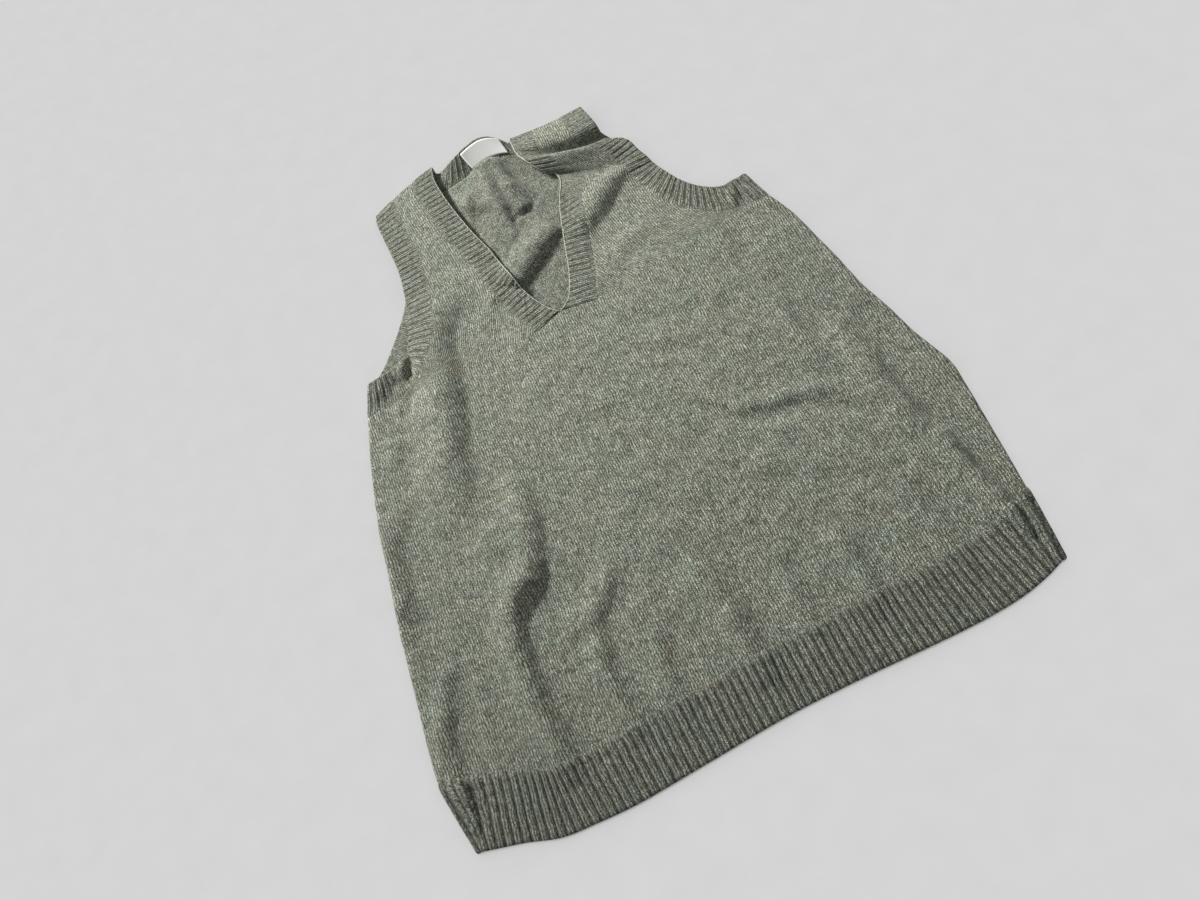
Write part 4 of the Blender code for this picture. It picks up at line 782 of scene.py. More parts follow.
def foot_line(share):
    """The body's foot on the hem's seam, at shares of the way from side to side."""
    welt = through([(w.top_x, w.top_y + SEAM_GAP) for w in WELT],
                   np.linspace(0, len(WELT) - 1, 500))
    left, right = flat_limits(np.array([FOOT_Y]))
    x = left + share * (right - left)
    return np.stack([x, np.interp(x, welt[:, 0], welt[:, 1])], 1)


def body_grid(foot, crown, rows):
    """X and Y of a body from fold to fold; foot and crown are lines with as many points."""
    share = np.linspace(0, 1, rows)[:, None]
    foot_left, foot_right = flat_limits(foot[:, 1])
    crown_left, crown_right = flat_limits(crown[:, 1])
    foot_t = (foot[:, 0] - foot_left) / (foot_right - foot_left)
    crown_t = (crown[:, 0] - crown_left) / (crown_right - crown_left)
    y = foot[:, 1] * (1 - share) + crown[:, 1] * share
    t = foot_t * (1 - share) + crown_t * share
    left, right = flat_limits(y)
    x = left + t * (right - left)
    for column, sign in ((0, -1), (-1, 1)):
        side_y = FOOT_Y * (1 - share[:, 0]) + side_tops[column] * share[:, 0]
        turns = fold_columns(sign, side_y)[:, :-1]
        tall = np.repeat(side_y[:, None], turns.shape[1], 1)
        if sign < 0:
            x, y = np.hstack([turns, x]), np.hstack([tall, y])
        else:
            x, y = np.hstack([x, turns[:, ::-1]]), np.hstack([y, tall])
    return x, y


print("a body is sewn to the hem from", round(FOOT_Y), "mm up, and ends at", round(side_tops[0]))

# %% Grids of the straps
def strap_rows(sections, step):
    """Rows of a strap, evenly spaced by length, without the first."""
    fine = np.linspace(0, len(sections) - 1, 400)
    travelled = lengths_along(strap(sections, fine, 0.35))      # a third of the way across
    count = round(travelled[-1] / step)
    return np.interp(np.linspace(0, travelled[-1], count + 1)[1:], travelled, fine)


def strap_map(points, base_map):
    """The map of a strap's grid: lengths up it and across it, carried on from its first row."""
    up = np.cumsum(np.linalg.norm(np.diff(points, axis=0), axis=2), axis=0)
    up = np.vstack([np.zeros((1, points.shape[1])), up])
    across = np.cumsum(np.linalg.norm(np.diff(points, axis=1), axis=2), axis=1)
    across = np.hstack([np.zeros((points.shape[0], 1)), across])
    middle = points.shape[1] // 2
    across -= across[:, middle:middle + 1]
    smooth = up.mean(axis=1, keepdims=True) * 0.5 + up * 0.5
    return np.stack([base_map[middle, 0] + across, base_map[:, 1] + smooth], -1)


def chest_and_strap(base, left_at, right_at, sections):
    """One grid from the body's last row up the chest and the strap, over the shoulder."""
    j = np.linspace(0, 1, len(base))[None, :]
    rows = np.arange(1, 4 * NECK_STEPS + 1) / 4
    left, right = left_at(rows), right_at(rows)
    flat = left[:, None, :] * (1 - j[..., None]) + right[:, None, :] * j[..., None]
    chest = layer(flat[..., 0], flat[..., 1], True)
    level = strap_rows(sections, FRONT_STEP)
    low, high = strap_body_span(sections, level)
    across = low[:, None] * (1 - j) + high[:, None] * j
    up = strap(sections, level[:, None], across)
    last = len(sections) - 1
    gap = shoulder_gap_row(sections, across[-1])
    over = strap(sections, last + SHOULDER_TURNS * (gap - last), across[-1])
    return np.concatenate([base[None], chest, up, over])


def edge_pinch(rows, columns, sides, pinch=SEAM_PINCH):
    """Thickness over a grid: thinner along the named sides, where it is sewn."""
    thick = np.ones((rows, columns))
    for side in sides:
        edge = {"foot": np.s_[0, :], "top": np.s_[-1, :], "left": np.s_[:, 0],
                "right": np.s_[:, -1]}[side]
        thick[edge] = pinch
    return thick


print("rows up the straps:", *(len(strap_rows(s, FRONT_STEP)) for s in (STRAP_LEFT, STRAP_RIGHT)))

# %% Front panel
V_POINT_DROP = 0.6        # how far the foot of the V lies below the neckband's mitre


def make_front():
    left_arm, right_arm, left_neck, right_neck = (
        seam_shifted(stations) for stations in (arm_left, arm_right, neck_left, neck_right))
    point = ((NECK_LEFT[0].free_x + NECK_RIGHT[0].free_x) / 2,
             NECK_LEFT[0].free_y - SEAM_GAP - V_POINT_DROP)
    corners = [side_ends[0], left_arm[1], left_neck[0], point,
               right_neck[0], right_arm[1], side_ends[1]]
    crown = along_line(corners, FRONT_STEP)
    nearest = [int(np.argmin(np.hypot(*(crown - corner).T))) for corner in corners]
    foot = foot_line(lengths_along(crown) / lengths_along(crown)[-1])
    x, y = body_grid(foot, crown, BODY_ROWS["front"])
    sheet = Sheet("front_panel_knit")
    body = layer(x, y, True)
    thick = edge_pinch(*x.shape, ("foot", "left", "right"))
    skip = len(FOLD_TURNS) - 1
    for start, end in ((0, 1), (2, 4), (5, 6)):
        thick[-1, skip + nearest[start]:skip + nearest[end] + 1] = SEAM_PINCH
    sheet.add(body, (0, 0, 1), np.stack([x, y], -1), thick)
    for start, end, sections, left_at, right_at in (
            (nearest[1], nearest[2], STRAP_LEFT,
             lambda k: through(left_arm, k + 1), lambda k: through(left_neck, k)),
            (nearest[4], nearest[5], STRAP_RIGHT,
             lambda k: through(right_neck, k), lambda k: through(right_arm, k + 1))):
        columns = slice(skip + start, skip + end + 1)
        grid = chest_and_strap(body[-1, columns], left_at, right_at, sections)
        base_map = np.stack([x[-1, columns], y[-1, columns]], -1)
        thick = edge_pinch(*grid.shape[:2], ("left", "right", "top"))
        sheet.add(grid, (0, 0, 1), strap_map(grid, base_map), thick)
    return sheet.build()


front_knit = make_front()

# %% [markdown]
# ## The back
#
# The back lies on the table. It shows only inside the V, as the purl side of the knitting, so its
# grid is fine there and wide elsewhere. Its neck seam rises where the neckband stands up.

# %% Back panel
# Between points of the back: where the V shows it, beside that, and by the underarms
BACK_FINE, BACK_WIDE, BACK_SIDE = 2.2, 9.0, 8.0
VIEW = (-66.0, 62.0)      # how far the V shows the back to its left and right
YOKE_ROWS = 88            # from the underarms to the shoulders


def back_columns(left, right):
    """Shares of a row at which the back has points, and the two points that bound the view."""
    width = right - left
    a, b = ((edge - left) / width for edge in VIEW)
    outside_left = np.linspace(0, a, max(2, round(a * width / BACK_WIDE)) + 1)
    inside = np.linspace(a, b, max(2, round((b - a) * width / BACK_FINE)) + 1)
    outside_right = np.linspace(b, 1, max(2, round((1 - b) * width / BACK_WIDE)) + 1)
    shares = np.concatenate([outside_left, inside[1:], outside_right[1:]])
    return shares, len(outside_left) - 1, len(outside_left) + len(inside) - 2


def across_top(sections, count):
    """Across values of a strap's top row, between its two bands."""
    low, high = strap_body_span(sections, len(sections) - 1)
    return low + (high - low) * np.linspace(0, 1, count)


def make_back():
    left_arm = seam_shifted(arm_back_stations(ARM_LEFT_BACK, STRAP_LEFT, True))
    right_arm = seam_shifted(arm_back_stations(ARM_RIGHT_BACK, STRAP_RIGHT, False))
    shares, view_a, view_b = back_columns(left_arm[1][0], right_arm[1][0])
    waist = left_arm[1] + (right_arm[1] - left_arm[1]) * shares[:, None]
    before = along_line([side_ends[0], left_arm[1]], BACK_SIDE)[:-1]
    after = along_line([right_arm[1], side_ends[1]], BACK_SIDE)[1:]
    crown = np.vstack([before, waist, after])
    foot = foot_line((crown[:, 0] - crown[0, 0]) / (crown[-1, 0] - crown[0, 0]))
    x, y = body_grid(foot, crown, BODY_ROWS["back"])
    sheet = Sheet("back_panel_knit")
    body = layer(x, y, False)
    thick = edge_pinch(*x.shape, ("foot", "left", "right"))
    sheet.add(body, (0, 0, -1), np.stack([x, y], -1), thick)
    first = len(FOLD_TURNS) - 1 + len(before)
    base = body[-1, first:first + len(waist)]

    left_across = across_top(STRAP_LEFT, view_a + 1)
    right_across = across_top(STRAP_RIGHT, len(waist) - view_b)
    left_foot = strap_behind(STRAP_LEFT, 0.0, left_across)
    right_foot = strap_behind(STRAP_RIGHT, 0.0, right_across)
    table = neck_rows()
    fine = np.linspace(0, len(table) - 1, 300)
    seam = through(table, fine)
    reach = np.linalg.norm(seam[:, 3:] - seam[:, :3], axis=1, keepdims=True)
    seam = seam[:, :3] + (seam[:, 3:] - seam[:, :3]) * (1 + SEAM_GAP / reach)
    seam[:, 2] = np.maximum(seam[:, 2], WALL / 2)
    seam[0], seam[-1] = left_foot[-1], right_foot[0]
    travelled = lengths_along(seam)
    neck = at_lengths(np.linspace(0, travelled[-1], view_b - view_a + 1), travelled, seam)
    top = np.vstack([left_foot, neck[1:-1], right_foot])

    s = np.linspace(0, 1, YOKE_ROWS + 1)[1:, None]
    place = 1 + s[:, 0] * (ARM_BACK_STEPS - 1)
    left, right = through(left_arm, place), through(right_arm, place)
    straight = base[None, :, :2] * (1 - s[..., None]) + top[None, :, :2] * s[..., None]
    t = shares[None, :, None]
    straight += (1 - t) * (left - straight[:, 0])[:, None] + t * (right - straight[:, -1])[:, None]
    yoke = layer(straight[..., 0], straight[..., 1], False)
    yoke[-1] = top
    whole = np.concatenate([base[None], yoke])
    thick = edge_pinch(*whole.shape[:2], ("left", "right"))
    thick[-1, view_a:view_b + 1] = SEAM_PINCH
    sheet.add(whole, (0, 0, -1), whole[..., :2], thick)
    for sections, across, edge_row in ((STRAP_LEFT, left_across, whole[-1, :view_a + 1]),
                                       (STRAP_RIGHT, right_across, whole[-1, view_b:])):
        gap = shoulder_gap_row(sections, across) - (len(sections) - 1)
        roll = strap_behind(sections, SHOULDER_TURNS * gap, across)
        grid = np.concatenate([edge_row[None], roll])
        sheet.add(grid, (0, 0.3, -1), strap_map(grid, edge_row[:, :2]),
                  edge_pinch(*grid.shape[:2], ("left", "right", "top")))
    return sheet.build()


back_knit = make_back()

# %% [markdown]
# ## Ribs
#
# A two-by-one rib is two columns of knit stitches, which stand forward, and one of purl, which
# draws back. Across one rib the surface is therefore a narrow valley and a broad top with a faint
# groove down its middle. The same profile serves the hem and all the bands; only its pitch differs.

# %% Profile of a rib
# Columns of points across one rib, in shares of its pitch: closest in the valley at 0.
RIB_COLUMNS = np.array([0, 0.06, 0.13, 0.21, 0.33, 0.5, 0.67, 0.79, 0.87, 0.94])


def rib_profile(phase):
    """Height of a rib from 0 in its valley to 1 on top, over one pitch."""
    # off is how far a point is from the rib's middle: 0 there and 1 in the valley
    off = np.abs(np.mod(phase, 1.0) - 0.5) * 2
    top = 1 - np.clip((off - 0.34) / 0.62, 0, 1) ** 1.7
    groove = 0.14 * np.exp(-(off / 0.16) ** 2)
    return np.clip(top - groove, 0, 1)


print("heights across one rib:", *np.round(rib_profile(RIB_COLUMNS), 2))

# %% Hem ribs
# Rows down the hem, and at each one the wall's thickness and the ribs' height, in shares
HEM_ROWS = np.concatenate([[0.0, 0.012], np.linspace(0.04, 0.96, 26), [0.98, 0.993, 1.0]])
HEM_EDGE = np.concatenate([[0.85, 0.95], np.ones(26), [0.85, 0.6, 0.3]])
HEM_RISE_ROWS = np.concatenate([[0.15, 0.3, 0.75], np.ones(25), [0.95, 0.8, 0.6]])
HEM_PITCH = 6.75                # width of a rib where the cloth turns at the sides
HEM_DEPTH = 60.0                # along the map
BACK_HEM_INSET = 1.5            # how far the back's edge stays inside the front's
# The rib hollows get no painted shade where the ribs begin, and more from there on
HEM_VALLEY_SHADE = np.clip(HEM_ROWS / 0.14, 0, 1)


def rib_map(phase, depth):
    """The map of a ribbed grid: a two-by-one rib is three stitches wide."""
    return np.stack(np.broadcast_arrays(phase * 3 * KNIT_WALE, depth), -1)


def welt_grid(shares, is_front, inset, turns):
    """The hem from fold to fold, squeezed so that its ends meet the rolls."""
    places = shares * (len(WELT) - 1)
    top = through([(w.top_x, w.top_y) for w in WELT], places)
    bottom = through([(w.bottom_x, w.bottom_y + inset) for w in WELT], places)
    level = HEM_ROWS[:, None, None]
    flat = top[None] * (1 - level) + bottom[None] * level
    x, y = flat[..., 0], flat[..., 1]
    edge_left, edge_right = side_fold(y, "left"), side_fold(y, "right")
    left, right = flat_limits(y)
    x = left + (x - edge_left) * (right - left) / (edge_right - edge_left)
    x[:, 0], x[:, -1] = left[:, 0], right[:, -1]
    left_turn = fold_columns(-1, y[:, 0], turns)[:, :-1]
    right_turn = fold_columns(1, y[:, -1], turns)[:, :-1][:, ::-1]
    x = np.hstack([left_turn, x, right_turn])
    added = len(turns) - 1
    y = np.hstack([y[:, :1]] * added + [y] + [y[:, -1:]] * added)
    return layer(x, y, is_front)


def make_hem(name, is_front):
    columns = RIB_COLUMNS if is_front else np.array([0.0, 0.33, 0.67])
    turns = np.linspace(1, 0, 11 if is_front else 6)
    phase = np.append((np.arange(HEM_RIBS)[:, None] + columns[None, :]).reshape(-1), HEM_RIBS)
    bottom = [(w.bottom_x, w.bottom_y, w.bottom_x, w.bottom_y) for w in WELT]
    fine = spread(bottom, 600) / (len(WELT) - 1)
    shares = np.interp(phase / HEM_RIBS, np.linspace(0, 1, len(fine)), fine)
    points = welt_grid(shares, is_front, 0.0 if is_front else BACK_HEM_INSET, turns)
    lengths = np.linalg.norm(np.diff(points[len(points) // 2], axis=0), axis=1) / HEM_PITCH
    side = len(turns) - 1
    before = -np.cumsum(lengths[:side][::-1])[::-1]
    after = HEM_RIBS + np.cumsum(lengths[-side:])
    phase = np.concatenate([before, phase, after])
    sheet = Sheet(name)
    thick = np.repeat(HEM_EDGE[:, None], points.shape[1], 1)
    tops = rib_profile(phase)[None, :] * HEM_RISE_ROWS[:, None]
    flat = rib_map(phase[None, :], -HEM_DEPTH * HEM_ROWS[:, None])
    # The rib values are painted shade for the ribs' hollows, on the outer and the inner skin
    if is_front:
        valley_shaded = 1 - (1 - rib_profile(phase))[None, :] * HEM_VALLEY_SHADE[:, None]
        sheet.add(points, (0, 0, 1), flat, thick, HEM_RIB_RISE * tops,
                  rib=(valley_shaded, 1 - 0.5 * tops))
    else:
        sheet.add(points, (0, 0, -1), flat, thick, rib=(tops, tops))
    return sheet.build()


front_hem = make_hem("front_hem_knit", True)
back_hem = make_hem("back_hem_knit", False)

# %% [markdown]
# ## Bands
#
# Each band is one strip of rib, sewn on by one edge. Its middle surface is first laid out section
# by section along its whole run: on the chest, up the strap, over the shoulder, behind. Then the
# run is cut again into even steps, so that the ribs keep their pitch wherever the band goes.

# %% Sizes of the bands
# Points across a band from its free edge to its seam, and at each one the wall's thickness, the
# ribs' height and how much painted shade each rib's hollow gets, in shares
ACROSS_MM = np.array([0, 0.25, 0.7, 1.3, 2.4, 4.5, 7, 9.5, 12.5, 15.5, 18.5, 21, 23, 24.3, 25.0])
BAND_SHARES = ACROSS_MM / BAND_WIDTH
BAND_EDGE = np.array([0.3, 0.6, 0.85, 1, 1, 1, 1, 1, 1, 1, 1, 1, 1, 0.95, 0.85])
RISE_EDGE = np.array([0.5, 0.7, 0.85, 1, 1, 1, 1, 1, 1, 1, 0.95, 0.8, 0.55, 0.35, 0.2])
# Painted shade in each rib's hollow: none beside the seam
BAND_VALLEY_SHADE = np.clip((BAND_WIDTH + 0.6 - ACROSS_MM) / 4.0, 0, 1)    # pale beside the seam
BAND_STEP = 0.75          # between points along a band
ROLL_ROWS = np.linspace(0, 1, 8)          # over a quarter of a roll
# Rows of a band's parts, before the whole run is cut again into even steps
TURN_STEPS, ARM_RUN, ARM_STRAP_RUN, NECK_RUN, PLEAT_RUN = 13, 150, 220, 160, 260
# Where ribs are pulled flat: x, y, reach and the share of their height that is left
PULLED_FLAT = [(64, 514, 22, 0.1), (96, 550, 18, 0.45), (44, 580, 20, 0.6), (104, 580, 18, 0.6),
               (-160, 403, 17, 0.3)]
INNER_RISE = 0.7          # how much of the ribs' height shows in the wall's inner skin
print(len(ACROSS_MM), "points across a band of", BAND_WIDTH, "mm")

# %% The parts of a band
def chest_run(stations, is_front, steps):
    """The band's middle on the chest or behind, for stations in order."""
    at = through(stations, np.linspace(0, len(stations) - 1, steps))
    share = BAND_SHARES[None, :, None]
    flat = at[:, None, :2] * (1 - share) + at[:, None, 2:] * share
    return layer(flat[..., 0], flat[..., 1], is_front)


def strap_run(sections, left_edge, steps):
    """The band's middle up a strap and over the first half of the shoulder's roll."""
    last = len(sections) - 1
    row = np.concatenate([np.linspace(0, last, steps), last + ROLL_ROWS[1:]])
    share = BAND_SHARES[None, :] * band_share(sections, row)[:, None]
    return strap(sections, row[:, None], share if left_edge else 1 - share)


def behind_run(sections, left_edge, stop=0.0):
    """The band's middle from the shoulder seam down to the table behind."""
    turned = 1 - ROLL_ROWS[:, None] * (1 - stop * (1 - BAND_SHARES[None, :]))
    share = BAND_SHARES * band_share(sections, len(sections) - 1)[0]
    return strap_behind(sections, turned, share if left_edge else 1 - share)


def joined_runs(runs):
    """One run from several that follow each other."""
    return np.concatenate([runs[0]] + [run[1:] for run in runs[1:]])


free_edge = chest_run(neck_left, True, NECK_RUN)[:, 0]
print("neckband up the left of the V:", round(lengths_along(free_edge)[-1]), "mm")

# %% Even steps along a band
def evenly(run, closed):
    """The run cut again into even steps along its middle, and the length travelled."""
    travelled = lengths_along(run[:, len(BAND_SHARES) // 2])
    ribs = round(travelled[-1] / BAND_RIB_PITCH)
    count = ribs * round(BAND_RIB_PITCH / BAND_STEP)
    goals = np.linspace(0, travelled[-1], count + 1)
    even = np.stack([at_lengths(goals, travelled, run[:, k]) for k in range(run.shape[1])], 1)
    if closed:
        even[-1] = even[0]
    return even, goals / travelled[-1] * ribs


def smooth_run(run, passes, closed):
    """Rounds the small corners between the runs' parts, leaving an open strip's ends."""
    for _ in range(passes):
        if closed:
            ring = run[:-1]
            ring = (np.roll(ring, 1, 0) + 2 * ring + np.roll(ring, -1, 0)) / 4
            run = np.concatenate([ring, ring[:1]])
        else:
            run[1:-1] = (run[:-2] + 2 * run[1:-1] + run[2:]) / 4
    return run


def rib_calm(points):
    """Share of a rib's height that is left at each point."""
    left = np.ones(points.shape[:2])
    for x, y, reach, share in PULLED_FLAT:
        away = np.hypot(points[..., 0] - x, points[..., 1] - y) / reach
        left *= 1 - (1 - share) * np.exp(-away ** 4)
    return left


pleat = np.array([[PULLED_FLAT[0][:2]]], float)
print("in the pleat, ribs keep", round(float(rib_calm(pleat)[0, 0]), 2), "of their height")

# %% A band's sheet, and the armhole bands
def make_band(name, runs, closed):
    """A band's sheet from its parts, with its middle surface and the way out of it."""
    even, phase = evenly(joined_runs(runs), closed)
    even = smooth_run(even, 2, closed)
    way = unit(np.cross(np.gradient(even, axis=0), np.gradient(even, axis=1)))
    if way[: len(way) // 6, :, 2].mean() < 0:
        way = -way
    calm = rib_calm(even)
    tops = rib_profile(phase)[:, None] * RISE_EDGE[None, :]
    # Painted shade in each rib's hollow, and on the inner skin under the rib tops
    painted_valley_shade = (1 - rib_profile(phase))[:, None] * BAND_VALLEY_SHADE[None, :]
    rise = BAND_RIB_RISE * tops * calm
    # No ribs where the band lies face down on the table: there the inner skin rises instead
    faces_up = np.clip((way[..., 2] + 0.2) / 0.5, 0, 1)
    off_table = np.clip((even[..., 2] - WALL / 2) / 2.0, 0, 1)
    lift = rise * np.maximum(faces_up, off_table)
    inner = (BAND_RIB_RISE - rise) * INNER_RISE * np.clip(BAND_EDGE, 0.4, 1)[None, :]
    faces_down = np.clip(-way[..., 2] / 0.5, 0, 1)
    sheet = Sheet(name)
    flat = rib_map(phase[:, None], BAND_SHARES[None, :] * BAND_WIDTH)
    sheet.add(even, way, flat, BAND_EDGE, lift, inner * faces_down,
              rib=(1 - painted_valley_shade * calm, 1 - 0.5 * tops * calm))
    return sheet.build(), even, way


def fold_stations(sign, free_y, seam_y):
    """Stations round a side fold, from the side seam to flat."""
    return np.array([(at_fold(sign, free_y, a), free_y, at_fold(sign, seam_y, a), seam_y)
                     for a in np.linspace(QUARTER_TURN, 0, 7)], float)


def armhole_runs(sign, front_rows, front_stations, back_rows, sections):
    """An armhole band's parts: round the side, up the front, over the shoulder and down behind."""
    left = sign < 0
    turn = fold_stations(sign, front_rows[0].free_y, front_rows[0].seam_y)
    behind = arm_back_stations(back_rows, sections, left)
    ahead = np.vstack([turn[-1:], front_stations[1:]])
    back_down = np.vstack([behind[::-1][:-1], turn[-1:]])
    return [chest_run(turn, True, TURN_STEPS), chest_run(ahead, True, ARM_RUN),
            strap_run(sections, left, ARM_STRAP_RUN), behind_run(sections, left),
            chest_run(back_down, False, ARM_RUN), chest_run(turn[::-1], False, TURN_STEPS)]


left_runs = armhole_runs(-1, ARM_LEFT_FRONT, arm_left, ARM_LEFT_BACK, STRAP_LEFT)
left_band, *_ = make_band("left_armhole_rib", left_runs, closed=True)
right_runs = armhole_runs(1, ARM_RIGHT_FRONT, arm_right, ARM_RIGHT_BACK, STRAP_RIGHT)
right_band, *_ = make_band("right_armhole_rib", right_runs, closed=True)

# %% Neckband
neck_runs = [
    chest_run(neck_left, True, NECK_RUN),
    strap_run(STRAP_LEFT, False, NECK_RUN),
    behind_run(STRAP_LEFT, False, NECK_TURN["left"]),
    back_neck(np.linspace(0, len(BACK_NECK) + 1, NECK_RUN)[:, None], BAND_SHARES),
    behind_run(STRAP_RIGHT, True, NECK_TURN["right"])[::-1],
    strap_run(STRAP_RIGHT, True, PLEAT_RUN)[::-1],
    chest_run(neck_right, True, NECK_RUN)[::-1],
]
neck_band, neck_middle, neck_way = make_band("neckband_rib", neck_runs, closed=False)

# %% [markdown]
# ## Small things sewn on
#
# The neck edge is cast off in one pale row that reads as a thin line all round the V. It is a
# chain of loops, so it is made as a fine tube whose thickness swells once a stitch. The label
# inside the back neck is a short piece of blank white tape.

# %% A tube along a line
TUBE_END = 0.4            # share of its radius that a tube has at its ends
TUBE_SIDES = 6            # points round a tube


def tube(name, line, radius):
    """A closed tube with rounded ends through the points of a line, radius given at each."""
    ahead = unit(np.gradient(line, axis=0))
    side = unit(np.cross(ahead, (0.0, 0.0, 1.0)))
    up = np.cross(side, ahead)
    angles = np.arange(TUBE_SIDES) * math.tau / TUBE_SIDES
    radius[[0, -1]] *= TUBE_END
    rings = line[:, None] + radius[:, None, None] * (
        np.cos(angles)[None, :, None] * side[:, None] + np.sin(angles)[None, :, None] * up[:, None])
    points = rings.reshape(-1, 3)
    faces = []
    for i in range(len(line) - 1):
        for k in range(TUBE_SIDES):
            a, b = i * TUBE_SIDES + k, i * TUBE_SIDES + (k + 1) % TUBE_SIDES
            faces.append((a, b, b + TUBE_SIDES, a + TUBE_SIDES))
    faces.append(tuple(range(TUBE_SIDES))[::-1])
    faces.append(tuple(len(points) - TUBE_SIDES + k for k in range(TUBE_SIDES)))
    mesh = bpy.data.meshes.new(name)
    mesh.from_pydata(to_metres(points).tolist(), [], faces)
    mesh.shade_smooth()
    triangles = 2 * len(points) - 4      # true of any closed form with no hole through it
    print(f"{name}: {triangles} triangles, {lengths_along(line)[-1]:.0f} mm long")
    return put_in_scene(name, mesh)


# %% The cast-off row
CHAIN_STEP, CHAIN_RADIUS, CHAIN_SWELL = 0.55, 0.54, 0.15
CHAIN_OUT, CHAIN_IN = 1.35, 1.0           # from the band's middle and from its free edge
CHAIN_LOWEST = 0.9                        # above the table
CHAIN_LEFT_SIDE = 0.75                    # the row is finer on the left of the V, in shares


def cast_off_line():
    """The pale cast-off row along the neckband's free edge, a chain of stitches."""
    inward = unit(neck_middle[:, 1] - neck_middle[:, 0])
    edge = neck_middle[:, 0] + neck_way[:, 0] * CHAIN_OUT + inward * CHAIN_IN
    edge[:, 2] = np.maximum(edge[:, 2], CHAIN_LOWEST)
    travelled = lengths_along(edge)
    goals = np.arange(0, travelled[-1], CHAIN_STEP)
    line = at_lengths(goals, travelled, edge)
    foot = goals[np.argmin(line[:, 1])]
    finer = np.interp(goals, [foot - 8, foot + 8], [CHAIN_LEFT_SIDE, 1.0])
    radius = (CHAIN_RADIUS + CHAIN_SWELL * np.sin(goals * math.tau / KNIT_WALE)) * finer
    return tube("neck_edge_chain", line, radius)


edge_chain = cast_off_line()

# %% Neck label
LABEL_ROWS, LABEL_COLUMNS = 17, 33
LABEL_FOOT, LABEL_TOP = 0.92, 0.12        # shares of the neckband's depth
LABEL_WALL, LABEL_EDGE = 0.6, 0.4         # its thickness, and the share left at its edges
LABEL_LIFT = 1.15                         # above the neckband, clear of its ribs


def make_label():
    share = np.linspace(LABEL_FOOT, LABEL_TOP, LABEL_ROWS)[:, None]
    # Its ends are in rows of the back neck's table, and spread apart towards the top
    left, right = (foot + (top - foot) * (LABEL_FOOT - share) / 0.8
                   for foot, top in ((4.85, 4.25), (7.7, 7.85)))
    across = np.linspace(0, 1, LABEL_COLUMNS)[None, :]
    middle = back_neck(left + (right - left) * across, share)
    way = unit(np.cross(np.gradient(middle, axis=1), np.gradient(middle, axis=0)))
    if way[..., 2].mean() < 0:
        way = -way
    sheet = Sheet("neck_label_tape")
    flat = np.stack(np.broadcast_arrays(across * 44, np.linspace(0, 20, LABEL_ROWS)[:, None]), -1)
    thick = edge_pinch(LABEL_ROWS, LABEL_COLUMNS, ("foot", "top", "left", "right"), LABEL_EDGE)
    sheet.add(middle + way * (WALL / 2 + LABEL_LIFT), way, flat, thick)
    return sheet.build(wall=LABEL_WALL)


label = make_label()

# %% [markdown]
# ## Wool
#
# The yarn is a marl: fibres of dark olive, mid grey and cream are spun together, so that every
# stitch has its own shade and pale flecks stand out all over. The material builds that up in
# layers. Cells about the size of a stitch give each one a random shade, and slow clouds tint the
# cloth bluish green here and brown there. Painted shade darkens the colour between the knitting's
# columns and in the hollow of each rib, and darker copies of the wool stand for shade on whole
# pieces. The same stitch pattern drives a bump. An image of cloth would blur close up and repeat;
# nodes keep the pattern sharp at any distance.

# %% A small helper for node trees
class Nodes:
    """Adds nodes to one material, with sockets given as values or as other nodes' outputs."""

    def __init__(self, name):
        self.material = bpy.data.materials.new(name)
        self.material.use_nodes = True
        self.tree = self.material.node_tree
        self.shader = self.tree.nodes["Principled BSDF"]

    def put(self, socket, value):
        if isinstance(value, bpy.types.NodeSocket):
            self.tree.links.new(value, socket)
        else:
            socket.default_value = value

    def add(self, kind, inputs=(), **settings):
        node = self.tree.nodes.new("ShaderNode" + kind)
        for key, value in settings.items():
            setattr(node, key, value)
        for key, value in dict(inputs).items():
            self.put(node.inputs[key], value)
        return node

    def math(self, operation, *values):
        node = self.add("Math", operation=operation)
        for socket, value in zip(node.inputs, values):
            self.put(socket, value)
        return node.outputs[0]

    def ease(self, value, low, high, out_low=0.0, out_high=1.0):
        node = self.add("MapRange", {"Value": value, "From Min": low, "From Max": high,
                                     "To Min": out_low, "To Max": out_high},
                        interpolation_type="SMOOTHSTEP")
        return node.outputs[0]

    def multiply(self, share, first, second):
        """Two colours multiplied; the sockets of a colour mix are numbers 6, 7 and 2."""
        return self.add("Mix", {0: share, 6: first, 7: second}, data_type="RGBA",
                        blend_type="MULTIPLY").outputs[2]

    def noise(self, vector, scale, detail, more=(), dimensions="2D"):
        """An uneven pattern from 0 to 1; a larger scale is finer."""
        inputs = {"Vector": vector, "Scale": scale, "Detail": detail, **dict(more)}
        return self.add("TexNoise", inputs, noise_dimensions=dimensions).outputs["Fac"]

    def bump(self, height, strength, distance):
        inputs = {"Height": height, "Strength": strength, "Distance": distance}
        return self.add("Bump", inputs).outputs[0]

    def ramp(self, value, stops):
        node = self.add("ValToRGB", {"Fac": value})
        elements = node.color_ramp.elements
        while len(elements) < len(stops):
            elements.new(0.5)
        for element, (place, colour) in zip(elements, stops):
            element.position, element.color = place, (*colour, 1)
        return node.outputs["Color"]

    def look(self, inputs):
        """Sets the shader's own sockets and gives back the finished material."""
        for key, value in inputs.items():
            self.put(self.shader.inputs[key], value)
        print(self.material.name, "uses", len(self.tree.nodes), "nodes")
        return self.material


